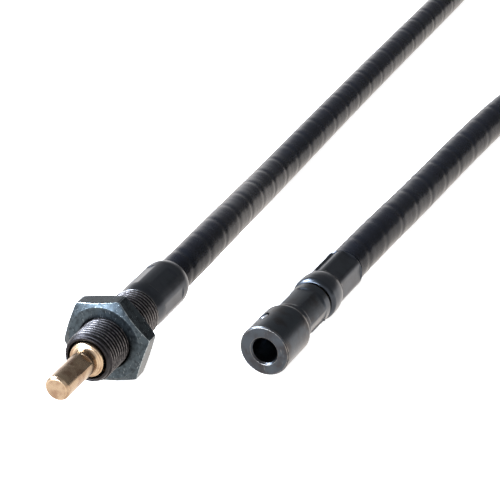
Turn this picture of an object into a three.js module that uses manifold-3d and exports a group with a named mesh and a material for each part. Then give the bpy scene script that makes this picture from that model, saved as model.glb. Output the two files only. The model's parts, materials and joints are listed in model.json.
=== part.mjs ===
// A rotary flexible control shaft, 36 inches end to end, lying on a bench.
//
// A wound steel core turns inside a ribbed flexible casing. At one end the core drives a brass
// spindle that runs in a threaded panel bushing, which a thin hex nut clamps in a panel. At the
// other end it drives a bored coupler hub, which a set screw locks on a quarter-inch shaft.
//
// Millimetres, +Z up. Both ends point to -Y and the casing runs away from them along +Y. The
// coupler's axis lies exactly along Y, the panel end's axis is turned out by PANEL_YAW_DEG, and
// the nut's lower flat, the coupler hub and the casing all touch the bench at z = 0. The origin
// is on the bench, under the centre of the box round the two fittings.

import * as THREE from "three";
import { mergeVertices } from "three/addons/utils/BufferGeometryUtils.js";
import Module from "manifold-3d";

const wasm = await Module();
wasm.setup();

// ---- Clearances -------------------------------------------------------------------------------
const GAP = 0.3; // between pieces that touch or run on each other
const BORE_GAP = 0.35; // round the core, which is polygonal

// ---- Panel end: sizes and stations along its axis, measured from the spindle's tip -------------
const PANEL_YAW_DEG = 2.73;
const PANEL_TIP = { x: -37.98, y: -31.1 }; // the spindle's tip, seen from the coupler's face
const SPINDLE_RADIUS = 3.175; // a quarter-inch shaft
const SPINDLE_CHAMFER = 0.6;
const SPINDLE_EXPOSED = 14.8; // tip to the front of the collar
const POCKET = { from: 6.5, to: 12.3, depth: 0.51, normalDeg: 45 }; // milled flat for a set screw
const COLLAR_RADIUS = 4.6;
const COLLAR_LENGTH = 2.5;
const COLLAR_CHAMFER = 0.6;
const WASHER_THICKNESS = 0.9;
const WASHER_FLANGE_RADIUS = 4.75;
const BUSHING_FRONT = 15.2; // tip to the bushing's front face
const BUSHING_LENGTH = 26.4; // the threaded length
const THREAD_RADIUS = 6.35; // half-inch thread, its crests
const THREAD_CHAMFER = 0.65;
const THREAD_LEAD = 1.3; // length of the front chamfer
const BUSHING_MOUTH_RADIUS = 5.05;
const BEARING_RADIUS = 4.2;
const BEARING_SPACING = 4.3; // between the spindle's two bearings
const BUSHING_BACK_WALL = 4.2; // thickness behind the retaining ring
const TAIL_RADIUS = 5.2; // the bushing's tail, inside the ferrule
const TAIL_LENGTH = 8.6;
const RING_WIDTH = 0.8;
const RING_GROOVE_RADIUS = 2.65;
const RING_MOUTH_DEG = 70; // the open part of the retaining ring
const STUB_RADIUS = 2.3; // the spindle's rear end, inside the core socket
const STUB_LENGTH = 4.6;
const SOCKET_RADIUS = 3.5;
const SOCKET_OVER_CORE = 6;
const NUT_ACROSS_FLATS = 20.6;
const NUT_THICKNESS = 5.25;
const NUT_FRONT = 24.1; // tip to the nut's front face
const NUT_CHAMFER_RADIUS = 9.5; // where the front chamfer starts
const NUT_CHAMFER = 1.25; // its depth at a corner
const NUT_BACK_CHAMFER_RADIUS = 9.9;
const NUT_BACK_CHAMFER = 0.6;
const FERRULE_RADIUS = 6.25;
const FERRULE_LENGTH = 18.7;
const FERRULE_FRONT_RADIUS = 6.0;
const FERRULE_SHOULDER = 2;
const FERRULE_CRIMP = { from: 3.8, to: 14.2, acrossFlats: 12.0, cornerDeg: 12 };

// ---- Coupler end: sizes and stations along its axis, measured from the hub's face --------------
const HUB_RADIUS = 6.35; // half-inch bar
const HUB_LENGTH = 13;
const HUB_EDGE = 0.35;
const HUB_REAR_CHAMFER = 0.7;
const HUB_BORE_RADIUS = 3.175; // takes a quarter-inch shaft
const HUB_BORE_DEPTH = 11.4;
const HUB_BORE_CHAMFER = 0.4;
const NECK_RADIUS = 5.3;
const NECK_LENGTH = 13.9;
const NECK_SOCKET_DEPTH = 14;
const NECK_CRIMP = { from: 15, to: 24.5, acrossFlats: 9.9, cornerDeg: -5 };
const SCREW_RADIUS = 1.8;
const SCREW_LENGTH = 2.6;
const SCREW_ALONG = 6.5; // hub face to the set screw's axis
const SCREW_DEG = 116;
const SCREW_SINK = 0.35; // the screw's head below the hub's surface
const SCREW_KEY_ACROSS_FLATS = 1.6;
const SCREW_KEY_DEPTH = 1.3;
const BEAD_RADIUS = 5.85;
const BEAD_REAR_RADIUS = 5.3;
const BEAD_GAP = 0.9; // neck to bead
const BEAD_LENGTH = 6.5;
const BEAD_BORE_DEPTH = 8.2;
const SLEEVE_LENGTH = 12.5;
const SLEEVE_RADIUS = 5.35;
const SLEEVE_ACROSS_FLATS = 9.8;
const SLEEVE_CORNER_DEG = 25;
const SLEEVE_LIP = 0.4;
const COUPLER_BUSH_RADIUS = 4.2;
const COUPLER_BUSH_LENGTH = 6;

// ---- Core and casing --------------------------------------------------------------------------
const CORE_RADIUS = 2.1;
const LINER_INNER_RADIUS = CORE_RADIUS + 0.4;
const LINER_RADIUS = 3.4;
const SHEATH_BORE_RADIUS = LINER_RADIUS + 0.3;
const SHEATH_RADIUS = 4.85; // crest of a rib
const RIB_DEPTH = 0.4;
const RIB_PITCH = 4.2;
const SKINNED_RADIUS = 4.15; // where a ferrule grips the casing
const GRIPPED_LENGTH = 10; // casing inside the coupler's ferrule
const CORD_SIDES = 8;
const BEND_RADIUS = 50; // 10.3 casing diameters across at the middle of the turn
const BEND_CENTRE = { x: -17, y: 360.9 };
const BEND_STEPS = 12;
const BEND_LEAD = 15.5; // straight casing before and after the arc
const PLAIN_END = 2 * SHEATH_RADIUS;
const LYING = SHEATH_RADIUS + 0.03; // the route's height where the casing lies on the bench

// ---- Values that follow from those ------------------------------------------------------------
const WASHER_BORE = SPINDLE_RADIUS + GAP;
const COLLAR_BACK = SPINDLE_EXPOSED + COLLAR_LENGTH;
const FRONT_WASHER_FRONT = COLLAR_BACK + GAP;
const MOUTH_FLOOR = FRONT_WASHER_FRONT + WASHER_THICKNESS + GAP;
const BUSHING_BACK = BUSHING_FRONT + BUSHING_LENGTH;
const BEARING_BORE_RADIUS = BEARING_RADIUS + GAP;
const FRONT_BEARING_FRONT = MOUTH_FLOOR;
const RING_FRONT = BUSHING_BACK - BUSHING_BACK_WALL - RING_WIDTH;
const REAR_WASHER_FRONT = RING_FRONT - GAP - WASHER_THICKNESS;
const BEARING_LENGTH = (REAR_WASHER_FRONT - GAP - MOUTH_FLOOR - BEARING_SPACING) / 2;
const REAR_BEARING_FRONT = REAR_WASHER_FRONT - GAP - BEARING_LENGTH;
const SPINDLE_SHOULDER = RING_FRONT + RING_WIDTH + 0.6;
const STUB_BACK = SPINDLE_SHOULDER + STUB_LENGTH;
const CORE_PANEL_END = STUB_BACK + GAP;
const SOCKET_FRONT = SPINDLE_SHOULDER + GAP;
const SOCKET_BACK = CORE_PANEL_END + SOCKET_OVER_CORE;
const TAIL_BORE_RADIUS = SOCKET_RADIUS + 0.4;
const TAIL_BACK = BUSHING_BACK + TAIL_LENGTH;
const FERRULE_FRONT = BUSHING_BACK + GAP;
const FERRULE_BACK = FERRULE_FRONT + FERRULE_LENGTH;
const FERRULE_STEP = TAIL_BACK + GAP;
const GRIP_BORE_RADIUS = SKINNED_RADIUS + GAP;
const PANEL_HEIGHT = NUT_ACROSS_FLATS / 2;
const NECK_BACK = HUB_LENGTH + NECK_LENGTH;
const NECK_BORE_RADIUS = CORE_RADIUS + BORE_GAP;
const BEAD_FRONT = NECK_BACK + BEAD_GAP;
const SLEEVE_FRONT = BEAD_FRONT + BEAD_LENGTH;
const SLEEVE_BACK = SLEEVE_FRONT + SLEEVE_LENGTH;
const COUPLER_WASHER_FRONT = BEAD_FRONT + GAP;
const COUPLER_BUSH_FRONT = COUPLER_WASHER_FRONT + WASHER_THICKNESS + GAP;
const BEAD_BORE_RADIUS = COUPLER_BUSH_RADIUS + GAP;
const CORE_COUPLER_END = NECK_SOCKET_DEPTH + GAP;

// ---- Finishes ---------------------------------------------------------------------------------
const finish = (color, roughness, metalness) =>
  new THREE.MeshStandardMaterial({ color, roughness, metalness });
const BRASS = finish(0xc9a56a, 0.3, 1);
const BRONZE = finish(0xa97a45, 0.45, 1);
const DARK_STEEL = finish(0x3b3d43, 0.35, 1);
const BLACK_STEEL = finish(0x1e1f24, 0.35, 0.8);
const BLUED_NUT = finish(0x353d44, 0.4, 0.9);
const BRIGHT_STEEL = finish(0xb9bcc0, 0.3, 1);
const WOUND_STEEL = finish(0x8a8d92, 0.45, 1);
const BLACK_SHEATH = finish(0x202124, 0.5, 0);

// ---- Geometry helpers -------------------------------------------------------------------------
const radians = THREE.MathUtils.degToRad;
const VISIBLE_SIDES = 32;
const INNER_SIDES = 24;
const REACH = 20; // half the size of a cutting block, larger than any fitting's radius

// A geometry's triangles with shared vertices joined and collapsed ones left out.
function closedSurface(geometry) {
  const bare = geometry.clone();
  bare.deleteAttribute("normal");
  bare.deleteAttribute("uv");
  const merged = mergeVertices(bare, 1e-4);
  const corners = Array.from(merged.index.array);
  const kept = [];
  for (let i = 0; i < corners.length; i += 3) {
    const [a, b, c] = corners.slice(i, i + 3);
    if (a !== b && b !== c && a !== c) kept.push(a, b, c);
  }
  merged.setIndex(kept);
  return merged;
}

function solid(geometry) {
  const surface = closedSurface(geometry);
  return new wasm.Manifold(
    new wasm.Mesh({
      numProp: 3,
      vertProperties: Float32Array.from(surface.attributes.position.array),
      triVerts: Uint32Array.from(surface.index.array),
    }),
  );
}

function geometryOf(body) {
  const mesh = body.getMesh();
  const geometry = new THREE.BufferGeometry();
  geometry.setAttribute("position", new THREE.BufferAttribute(mesh.vertProperties, 3));
  geometry.setIndex(new THREE.BufferAttribute(mesh.triVerts, 1));
  return geometry;
}

// A body turned about Y from [radius, along] points: up the outside, then back down the inside.
// A closed ring repeats its first point by itself.
function turned(points, { sides = VISIBLE_SIDES, ring = true } = {}) {
  const outline = points.map(([radius, along]) => new THREE.Vector2(radius, along));
  if (ring) outline.push(outline[0].clone());
  // Half a step of turn puts a corner of the polygon straight down, on the bench.
  return new THREE.LatheGeometry(outline, sides, 0);
}

const tube = (inner, outer, from, to, sides = INNER_SIDES) =>
  turned([[outer, from], [outer, to], [inner, to], [inner, from]], { sides });

// A prism along Y with its corners on a circle, the first corner at cornerDeg from +X to +Z.
function prism(acrossFlats, sides, from, to, cornerDeg) {
  const corner = acrossFlats / 2 / Math.cos(Math.PI / sides);
  const shape = new THREE.Shape();
  for (let i = 0; i < sides; i++) {
    const angle = radians(cornerDeg) + (2 * Math.PI * i) / sides;
    const [x, z] = [corner * Math.cos(angle), corner * Math.sin(angle)];
    if (i === 0) shape.moveTo(x, -z);
    else shape.lineTo(x, -z);
  }
  const geometry = new THREE.ExtrudeGeometry(shape, { depth: to - from, bevelEnabled: false });
  return geometry.rotateX(-Math.PI / 2).translate(0, from, 0);
}

// Presses flats into a round body: what stands outside the prism goes, between two stations.
function crimped(body, { from, to, acrossFlats, cornerDeg }, sides = 6) {
  const all = solid(new THREE.CylinderGeometry(REACH, REACH, to - from, sides)
    .translate(0, (from + to) / 2, 0));
  const die = solid(prism(acrossFlats, sides, from - 1, to + 1, cornerDeg));
  return body.subtract(all.subtract(die));
}

// Stands a cylinder or a block on end: its +Y turns to point outwards at deg from +X to +Z, and
// its X to lie along the axis.
function radial(geometry, along, deg, distance) {
  return geometry
    .translate(0, distance, 0)
    .rotateZ(-Math.PI / 2)
    .rotateY(-radians(deg))
    .translate(0, along, 0);
}

function piece(name, geometry, material) {
  const mesh = new THREE.Mesh(geometry, material);
  mesh.name = name;
  return mesh;
}

// ---- Panel end --------------------------------------------------------------------------------
function spindle() {
  const body = solid(
    turned(
      [
        [0, 0],
        [SPINDLE_RADIUS - SPINDLE_CHAMFER, 0],
        [SPINDLE_RADIUS, SPINDLE_CHAMFER],
        [SPINDLE_RADIUS, SPINDLE_EXPOSED],
        [COLLAR_RADIUS - COLLAR_CHAMFER, SPINDLE_EXPOSED],
        [COLLAR_RADIUS, SPINDLE_EXPOSED + COLLAR_CHAMFER],
        [COLLAR_RADIUS, COLLAR_BACK],
        [SPINDLE_RADIUS, COLLAR_BACK],
        [SPINDLE_RADIUS, RING_FRONT - GAP],
        [RING_GROOVE_RADIUS, RING_FRONT - GAP],
        [RING_GROOVE_RADIUS, RING_FRONT + RING_WIDTH + GAP],
        [SPINDLE_RADIUS, RING_FRONT + RING_WIDTH + GAP],
        [SPINDLE_RADIUS, SPINDLE_SHOULDER],
        [STUB_RADIUS, SPINDLE_SHOULDER],
        [STUB_RADIUS, STUB_BACK],
        [0, STUB_BACK],
      ],
      { ring: false },
    ),
  );
  const block = new THREE.BoxGeometry(POCKET.to - POCKET.from, REACH, REACH);
  const middle = (POCKET.from + POCKET.to) / 2;
  const distance = SPINDLE_RADIUS - POCKET.depth + REACH / 2;
  const cutter = radial(block, middle, POCKET.normalDeg, distance);
  return geometryOf(body.subtract(solid(cutter)));
}

function bushing() {
  return turned([
    [THREAD_RADIUS - THREAD_CHAMFER, BUSHING_FRONT],
    [THREAD_RADIUS, BUSHING_FRONT + THREAD_LEAD],
    [THREAD_RADIUS, BUSHING_BACK - THREAD_CHAMFER / 2],
    [THREAD_RADIUS - THREAD_CHAMFER / 2, BUSHING_BACK],
    [TAIL_RADIUS, BUSHING_BACK],
    [TAIL_RADIUS, TAIL_BACK],
    [TAIL_BORE_RADIUS, TAIL_BACK],
    [TAIL_BORE_RADIUS, BUSHING_BACK - BUSHING_BACK_WALL / 2],
    [BEARING_BORE_RADIUS, BUSHING_BACK - BUSHING_BACK_WALL / 2],
    [BEARING_BORE_RADIUS, MOUTH_FLOOR],
    [BUSHING_MOUTH_RADIUS, MOUTH_FLOOR],
    [BUSHING_MOUTH_RADIUS, BUSHING_FRONT],
  ]);
}

function panelNut() {
  const from = NUT_FRONT;
  const to = NUT_FRONT + NUT_THICKNESS;
  const corner = NUT_ACROSS_FLATS / Math.sqrt(3);
  const chamfers = solid(
    turned(
      [[0, from], [NUT_CHAMFER_RADIUS, from], [corner + 0.01, from + NUT_CHAMFER],
        [corner + 0.01, to - NUT_BACK_CHAMFER], [NUT_BACK_CHAMFER_RADIUS, to], [0, to]],
      { ring: false },
    ),
  );
  const bore = solid(
    new THREE.CylinderGeometry(THREAD_RADIUS + GAP, THREAD_RADIUS + GAP, REACH, VISIBLE_SIDES)
      .translate(0, (from + to) / 2, 0),
  );
  const hexagon = solid(prism(NUT_ACROSS_FLATS, 6, from, to, 0));
  return geometryOf(hexagon.intersect(chamfers).subtract(bore));
}

function retainingRing() {
  const ring = solid(
    tube(RING_GROOVE_RADIUS + GAP, BEARING_RADIUS, RING_FRONT, RING_FRONT + RING_WIDTH),
  );
  const half = radians(RING_MOUTH_DEG / 2);
  const mouth = new THREE.Shape([
    new THREE.Vector2(0, 0),
    new THREE.Vector2(REACH * Math.cos(half), -REACH * Math.sin(half)),
    new THREE.Vector2(REACH * Math.cos(half), REACH * Math.sin(half)),
  ]);
  const wedge = new THREE.ExtrudeGeometry(mouth, { depth: REACH, bevelEnabled: false })
    .rotateX(-Math.PI / 2)
    .translate(0, RING_FRONT - REACH / 2, 0);
  return geometryOf(ring.subtract(solid(wedge)));
}

function panelFerrule() {
  const shoulder = FERRULE_BACK - FERRULE_SHOULDER;
  const body = solid(
    turned([
      [FERRULE_FRONT_RADIUS, FERRULE_FRONT],
      [FERRULE_RADIUS, FERRULE_FRONT + 3],
      [FERRULE_RADIUS, shoulder],
      [FERRULE_RADIUS - 0.35, shoulder + FERRULE_SHOULDER * 0.6],
      [SHEATH_RADIUS + GAP, FERRULE_BACK],
      [GRIP_BORE_RADIUS, FERRULE_BACK],
      [GRIP_BORE_RADIUS, FERRULE_STEP],
      [TAIL_RADIUS + GAP, FERRULE_STEP],
      [TAIL_RADIUS + GAP, FERRULE_FRONT],
    ]),
  );
  const { from, to } = FERRULE_CRIMP;
  const placed = { ...FERRULE_CRIMP, from: FERRULE_FRONT + from, to: FERRULE_FRONT + to };
  return geometryOf(crimped(body, placed));
}

function panelEnd() {
  const end = new THREE.Group();
  const bearing = (from) => tube(WASHER_BORE, BEARING_RADIUS, from, from + BEARING_LENGTH);
  const washer = (from, outer) => tube(WASHER_BORE, outer, from, from + WASHER_THICKNESS);
  end.add(
    piece("panel_spindle", spindle(), BRASS),
    piece("spindle_front_washer", washer(FRONT_WASHER_FRONT, WASHER_FLANGE_RADIUS), BRONZE),
    piece("spindle_front_bearing", bearing(FRONT_BEARING_FRONT), BRONZE),
    piece("spindle_rear_bearing", bearing(REAR_BEARING_FRONT), BRONZE),
    piece("spindle_rear_washer", washer(REAR_WASHER_FRONT, BEARING_RADIUS), BRONZE),
    piece("spindle_retaining_ring", retainingRing(), BRIGHT_STEEL),
    piece(
      "core_socket",
      tube(STUB_RADIUS + GAP, SOCKET_RADIUS, SOCKET_FRONT, SOCKET_BACK),
      BRIGHT_STEEL,
    ),
    piece("panel_bushing", bushing(), DARK_STEEL),
    piece("panel_nut", panelNut(), BLUED_NUT),
    piece("panel_ferrule", panelFerrule(), BLACK_STEEL),
  );
  end.rotation.z = radians(PANEL_YAW_DEG);
  end.position.set(PANEL_TIP.x, PANEL_TIP.y, PANEL_HEIGHT);
  return end;
}

// ---- Coupler end ------------------------------------------------------------------------------
function couplerHub() {
  const body = solid(
    turned(
      [
        [0, HUB_BORE_DEPTH],
        [HUB_BORE_RADIUS, HUB_BORE_DEPTH],
        [HUB_BORE_RADIUS, HUB_BORE_CHAMFER],
        [HUB_BORE_RADIUS + HUB_BORE_CHAMFER, 0],
        [HUB_RADIUS - HUB_EDGE, 0],
        [HUB_RADIUS, HUB_EDGE],
        [HUB_RADIUS, HUB_LENGTH - HUB_REAR_CHAMFER],
        [NECK_RADIUS + 0.1, HUB_LENGTH],
        [NECK_RADIUS, HUB_LENGTH + 0.4],
        [NECK_RADIUS, NECK_BACK - 0.4],
        [NECK_RADIUS - 0.4, NECK_BACK],
        [NECK_BORE_RADIUS, NECK_BACK],
        [NECK_BORE_RADIUS, NECK_SOCKET_DEPTH],
        [0, NECK_SOCKET_DEPTH],
      ],
      { ring: false },
    ),
  );
  const hole = new THREE.CylinderGeometry(
    SCREW_RADIUS + GAP, SCREW_RADIUS + GAP, HUB_RADIUS, INNER_SIDES,
  );
  const drilled = body.subtract(solid(radial(hole, SCREW_ALONG, SCREW_DEG, HUB_RADIUS)));
  return geometryOf(crimped(drilled, NECK_CRIMP));
}

function setScrew() {
  const middle = HUB_RADIUS - SCREW_SINK - SCREW_LENGTH / 2;
  const shank = new THREE.CylinderGeometry(SCREW_RADIUS, SCREW_RADIUS, SCREW_LENGTH, INNER_SIDES);
  const key = SCREW_KEY_ACROSS_FLATS / Math.sqrt(3);
  const keyMiddle = middle + SCREW_LENGTH / 2 - SCREW_KEY_DEPTH / 2 + 0.5;
  const keyway = new THREE.CylinderGeometry(key, key, SCREW_KEY_DEPTH + 1, 6);
  const body = solid(radial(shank, SCREW_ALONG, SCREW_DEG, middle));
  return geometryOf(body.subtract(solid(radial(keyway, SCREW_ALONG, SCREW_DEG, keyMiddle))));
}

function couplerFerrule() {
  const bored = BEAD_FRONT + BEAD_BORE_DEPTH;
  const body = solid(
    turned([
      [BEAD_BORE_RADIUS, BEAD_FRONT + 0.2],
      [BEAD_RADIUS - 1.1, BEAD_FRONT],
      [BEAD_RADIUS - 0.35, BEAD_FRONT + 0.5],
      [BEAD_RADIUS, BEAD_FRONT + 1.8],
      [BEAD_RADIUS - 0.15, BEAD_FRONT + 4.7],
      [BEAD_REAR_RADIUS, SLEEVE_FRONT],
      [SLEEVE_RADIUS, SLEEVE_FRONT + 0.2],
      [SLEEVE_RADIUS, SLEEVE_BACK - SLEEVE_LIP],
      [SHEATH_RADIUS + GAP, SLEEVE_BACK - SLEEVE_LIP],
      [SHEATH_RADIUS + GAP, SLEEVE_BACK],
      [GRIP_BORE_RADIUS, SLEEVE_BACK],
      [GRIP_BORE_RADIUS, bored + GAP],
      [NECK_BORE_RADIUS + 0.2, bored + GAP],
      [NECK_BORE_RADIUS + 0.2, bored],
      [BEAD_BORE_RADIUS, bored],
    ]),
  );
  return geometryOf(
    crimped(body, {
      from: SLEEVE_FRONT,
      to: SLEEVE_BACK - SLEEVE_LIP,
      acrossFlats: SLEEVE_ACROSS_FLATS,
      cornerDeg: SLEEVE_CORNER_DEG,
    }),
  );
}

function couplerEnd() {
  const end = new THREE.Group();
  const bore = NECK_BORE_RADIUS;
  end.add(
    piece("coupler_hub", couplerHub(), DARK_STEEL),
    piece("coupler_set_screw", setScrew(), BRIGHT_STEEL),
    piece(
      "coupler_thrust_washer",
      tube(bore, BEARING_RADIUS, COUPLER_WASHER_FRONT, COUPLER_WASHER_FRONT + WASHER_THICKNESS),
      BRONZE,
    ),
    piece(
      "coupler_bearing",
      tube(bore, COUPLER_BUSH_RADIUS, COUPLER_BUSH_FRONT, COUPLER_BUSH_FRONT + COUPLER_BUSH_LENGTH),
      BRONZE,
    ),
    piece("coupler_ferrule", couplerFerrule(), BLACK_STEEL),
  );
  end.position.set(0, 0, HUB_RADIUS);
  return end;
}

// ---- Route of the core and casing --------------------------------------------------------------
const onPanelAxis = (along) =>
  new THREE.Vector3(0, along, 0)
    .applyAxisAngle(new THREE.Vector3(0, 0, 1), radians(PANEL_YAW_DEG))
    .add(new THREE.Vector3(PANEL_TIP.x, PANEL_TIP.y, PANEL_HEIGHT));
const onCouplerAxis = (along) => new THREE.Vector3(0, along, HUB_RADIUS);

// Hand-chosen points between the fittings, from the coupler's face on the bench. The casing
// comes down on to the bench behind each ferrule and then lies on it.
const PANEL_RUN = [
  [-43.6, 60, 9.6],
  [-46.9, 80, 8.0],
  [-50.4, 100, 6.2],
  [-53.2, 120, 5.05],
  [-54.9, 140, LYING],
  [-57.1, 170, LYING],
  [-59.1, 200, LYING],
  [-61.0, 230, LYING],
  [-62.8, 260, LYING],
  [-64.6, 290, LYING],
  [-66.4, 315, LYING],
];
const COUPLER_RUN = [
  [31.6, 315, LYING],
  [26.6, 285, LYING],
  [19.0, 255, LYING],
  [11.0, 225, LYING],
  [4.6, 195, LYING],
  [0.6, 165, LYING],
  [-0.6, 135, LYING],
  [-0.8, 110, 4.92],
  [-0.5, 90, 5.4],
  [-0.1, 75, 6.1],
];

function route() {
  const { x, y } = BEND_CENTRE;
  const lead = (side, back) => new THREE.Vector3(x + side * BEND_RADIUS, y - back, LYING);
  const arc = [];
  for (let i = 0; i <= BEND_STEPS; i++) {
    const angle = Math.PI - (Math.PI * i) / BEND_STEPS;
    arc.push(
      new THREE.Vector3(x + BEND_RADIUS * Math.cos(angle), y + BEND_RADIUS * Math.sin(angle), LYING),
    );
  }
  const ahead = 2 * SHEATH_RADIUS + 1;
  const before = [
    onPanelAxis(CORE_PANEL_END),
    onPanelAxis(FERRULE_STEP),
    onPanelAxis(FERRULE_BACK),
    onPanelAxis(FERRULE_BACK + ahead),
    ...PANEL_RUN.map((point) => new THREE.Vector3(...point)),
    lead(-1, 2 * BEND_LEAD),
    lead(-1, BEND_LEAD),
  ];
  const after = [
    lead(1, BEND_LEAD),
    lead(1, 2 * BEND_LEAD),
    ...COUPLER_RUN.map((point) => new THREE.Vector3(...point)),
    onCouplerAxis(SLEEVE_BACK + ahead),
    onCouplerAxis(SLEEVE_BACK),
    onCouplerAxis(SLEEVE_FRONT),
    onCouplerAxis(CORE_COUPLER_END),
  ];
  const curve = new THREE.CatmullRomCurve3([...before, ...arc, ...after], false, "centripetal");
  const STEPS_PER_POINT = 40;
  curve.arcLengthDivisions = STEPS_PER_POINT * (curve.points.length - 1);
  const lengths = curve.getLengths();
  const lengthAt = (index) => lengths[index * STEPS_PER_POINT];
  return {
    curve,
    length: lengths[lengths.length - 1],
    bendStart: lengthAt(before.length - 1),
    bendEnd: lengthAt(before.length + arc.length),
  };
}

const ROUTE = route();
const CASING_START = TAIL_BACK + 2 * GAP - CORE_PANEL_END; // along the route, as all below
const FREE_START = FERRULE_BACK - CORE_PANEL_END;
const FREE_END = ROUTE.length - (SLEEVE_BACK - CORE_COUPLER_END);
const CASING_END = FREE_END + GRIPPED_LENGTH;

// Eight points round the route at a station, the lowest one straight down.
function ringAt(station, radius) {
  const share = THREE.MathUtils.clamp(station / ROUTE.length, 0, 1);
  const centre = ROUTE.curve.getPointAt(share);
  const forwards = ROUTE.curve.getTangentAt(share);
  const across = new THREE.Vector3().crossVectors(forwards, new THREE.Vector3(0, 0, 1)).normalize();
  const upwards = new THREE.Vector3().crossVectors(across, forwards);
  const points = [];
  for (let i = 0; i < CORD_SIDES; i++) {
    const angle = (2 * Math.PI * i) / CORD_SIDES - Math.PI / 2;
    points.push(
      centre.clone()
        .addScaledVector(across, radius * Math.cos(angle))
        .addScaledVector(upwards, radius * Math.sin(angle)),
    );
  }
  return points;
}

// A tube along the route from rings of [station, radius]: the outside forwards, then the bore
// back, or a solid rod if there is no bore.
function sweep(outside, bore = []) {
  const rings = [...outside, ...[...bore].reverse()].map(([station, radius]) =>
    ringAt(station, radius));
  const positions = rings.flat().flatMap((point) => point.toArray());
  const index = [];
  const join = (first, second) => {
    for (let i = 0; i < CORD_SIDES; i++) {
      const next = (i + 1) % CORD_SIDES;
      const [a, b] = [first * CORD_SIDES + i, first * CORD_SIDES + next];
      const [c, d] = [second * CORD_SIDES + i, second * CORD_SIDES + next];
      index.push(a, d, b, a, c, d);
    }
  };
  for (let i = 0; i + 1 < rings.length; i++) join(i, i + 1);
  if (bore.length) {
    join(rings.length - 1, 0);
  } else {
    const last = (rings.length - 1) * CORD_SIDES;
    for (let i = 1; i + 1 < CORD_SIDES; i++) {
      index.push(0, i, i + 1);
      index.push(last, last + i + 1, last + i);
    }
  }
  const geometry = new THREE.BufferGeometry();
  geometry.setAttribute("position", new THREE.Float32BufferAttribute(positions, 3));
  geometry.setIndex(index);
  return geometry;
}

// Stations from one length to another, evenly spaced and no further apart than a step.
function stations(from, to, step) {
  const count = Math.max(1, Math.ceil((to - from) / step));
  return Array.from({ length: count + 1 }, (_, i) => from + ((to - from) * i) / count);
}

const RUNS = {
  panel: { from: FREE_START, to: ROUTE.bendStart - GAP / 2, ribsPerBoreRing: 5 },
  bend: { from: ROUTE.bendStart + GAP / 2, to: ROUTE.bendEnd - GAP / 2, ribsPerBoreRing: 2 },
  coupler: { from: ROUTE.bendEnd + GAP / 2, to: FREE_END, ribsPerBoreRing: 5 },
};

// Where the bore, the liner and the core all have a ring, so that they stay nested in a bend.
const boreStations = ({ from, to, ribsPerBoreRing }) =>
  stations(from, to, ribsPerBoreRing * RIB_PITCH);

// One run of the sheath. Its ribs stand a pitch apart, and its ends are plain for a diameter.
function sheath(run, { gripFrom, gripTo } = {}) {
  const first = run.from + PLAIN_END;
  const last = run.to - PLAIN_END;
  const ribs = Math.round((last - first) / RIB_PITCH);
  const pitch = (last - first) / ribs;
  const outside = [];
  if (gripFrom !== undefined) {
    outside.push([gripFrom, SKINNED_RADIUS], [run.from + GAP, SKINNED_RADIUS]);
  }
  outside.push([run.from + (gripFrom === undefined ? 0 : 2 * GAP), SHEATH_RADIUS]);
  outside.push([first, SHEATH_RADIUS]);
  for (let i = 0; i < ribs; i++) {
    outside.push([first + (i + 0.25) * pitch, SHEATH_RADIUS - RIB_DEPTH]);
    outside.push([first + (i + 0.75) * pitch, SHEATH_RADIUS]);
  }
  outside.push([last, SHEATH_RADIUS - RIB_DEPTH / 2]);
  outside.push([run.to - (gripTo === undefined ? 0 : 2 * GAP), SHEATH_RADIUS]);
  if (gripTo !== undefined) {
    outside.push([run.to - GAP, SKINNED_RADIUS], [gripTo, SKINNED_RADIUS]);
  }
  const bore = boreStations(run).map((station) => [station, SHEATH_BORE_RADIUS]);
  if (gripFrom !== undefined) bore.unshift([gripFrom, SHEATH_BORE_RADIUS]);
  if (gripTo !== undefined) bore.push([gripTo, SHEATH_BORE_RADIUS]);
  return sweep(outside, bore);
}

function cord() {
  const group = new THREE.Group();
  const inner = [
    ...boreStations(RUNS.panel),
    ...boreStations(RUNS.bend),
    ...boreStations(RUNS.coupler),
  ];
  const withRadius = (list, radius) => list.map((station) => [station, radius]);
  const linerStations = [CASING_START, ...inner, CASING_END];
  const coreStations = [0, ...linerStations, ROUTE.length];
  group.add(
    piece("casing_panel_run", sheath(RUNS.panel, { gripFrom: CASING_START }), BLACK_SHEATH),
    piece("casing_bend", sheath(RUNS.bend), BLACK_SHEATH),
    piece("casing_coupler_run", sheath(RUNS.coupler, { gripTo: CASING_END }), BLACK_SHEATH),
    piece(
      "casing_liner",
      sweep(
        withRadius(linerStations, LINER_RADIUS),
        withRadius(linerStations, LINER_INNER_RADIUS),
      ),
      WOUND_STEEL,
    ),
    piece("drive_core", sweep(withRadius(coreStations, CORE_RADIUS)), WOUND_STEEL),
  );
  return group;
}

// ---- Assembly ---------------------------------------------------------------------------------
const fittings = new THREE.Group();
fittings.add(panelEnd(), couplerEnd());
const assembly = new THREE.Group();
assembly.add(fittings, cord());
const box = new THREE.Box3().setFromObject(fittings, true);
const centre = box.getCenter(new THREE.Vector3());
assembly.position.set(-centre.x, -centre.y, 0);
const shaft = new THREE.Group();
shaft.add(assembly);

console.log(`free casing ${(FREE_END - FREE_START).toFixed(1)} mm`);
console.log(`origin from the coupler's face ${centre.x.toFixed(3)} ${centre.y.toFixed(3)}`);

export default shaft;
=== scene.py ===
"""A rotary flexible control shaft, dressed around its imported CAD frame.

Blender works in metres, in the frame's own coordinates. The classes below hold their sizes in
millimetres, along each fitting's own axis, and turn them to metres when a mesh is made.
"""

from __future__ import annotations

import json
import logging
import math
from collections.abc import Callable, Sequence
from dataclasses import dataclass
from enum import Enum
from typing import Any

import bpy
from mathutils import Matrix, Vector

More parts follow.
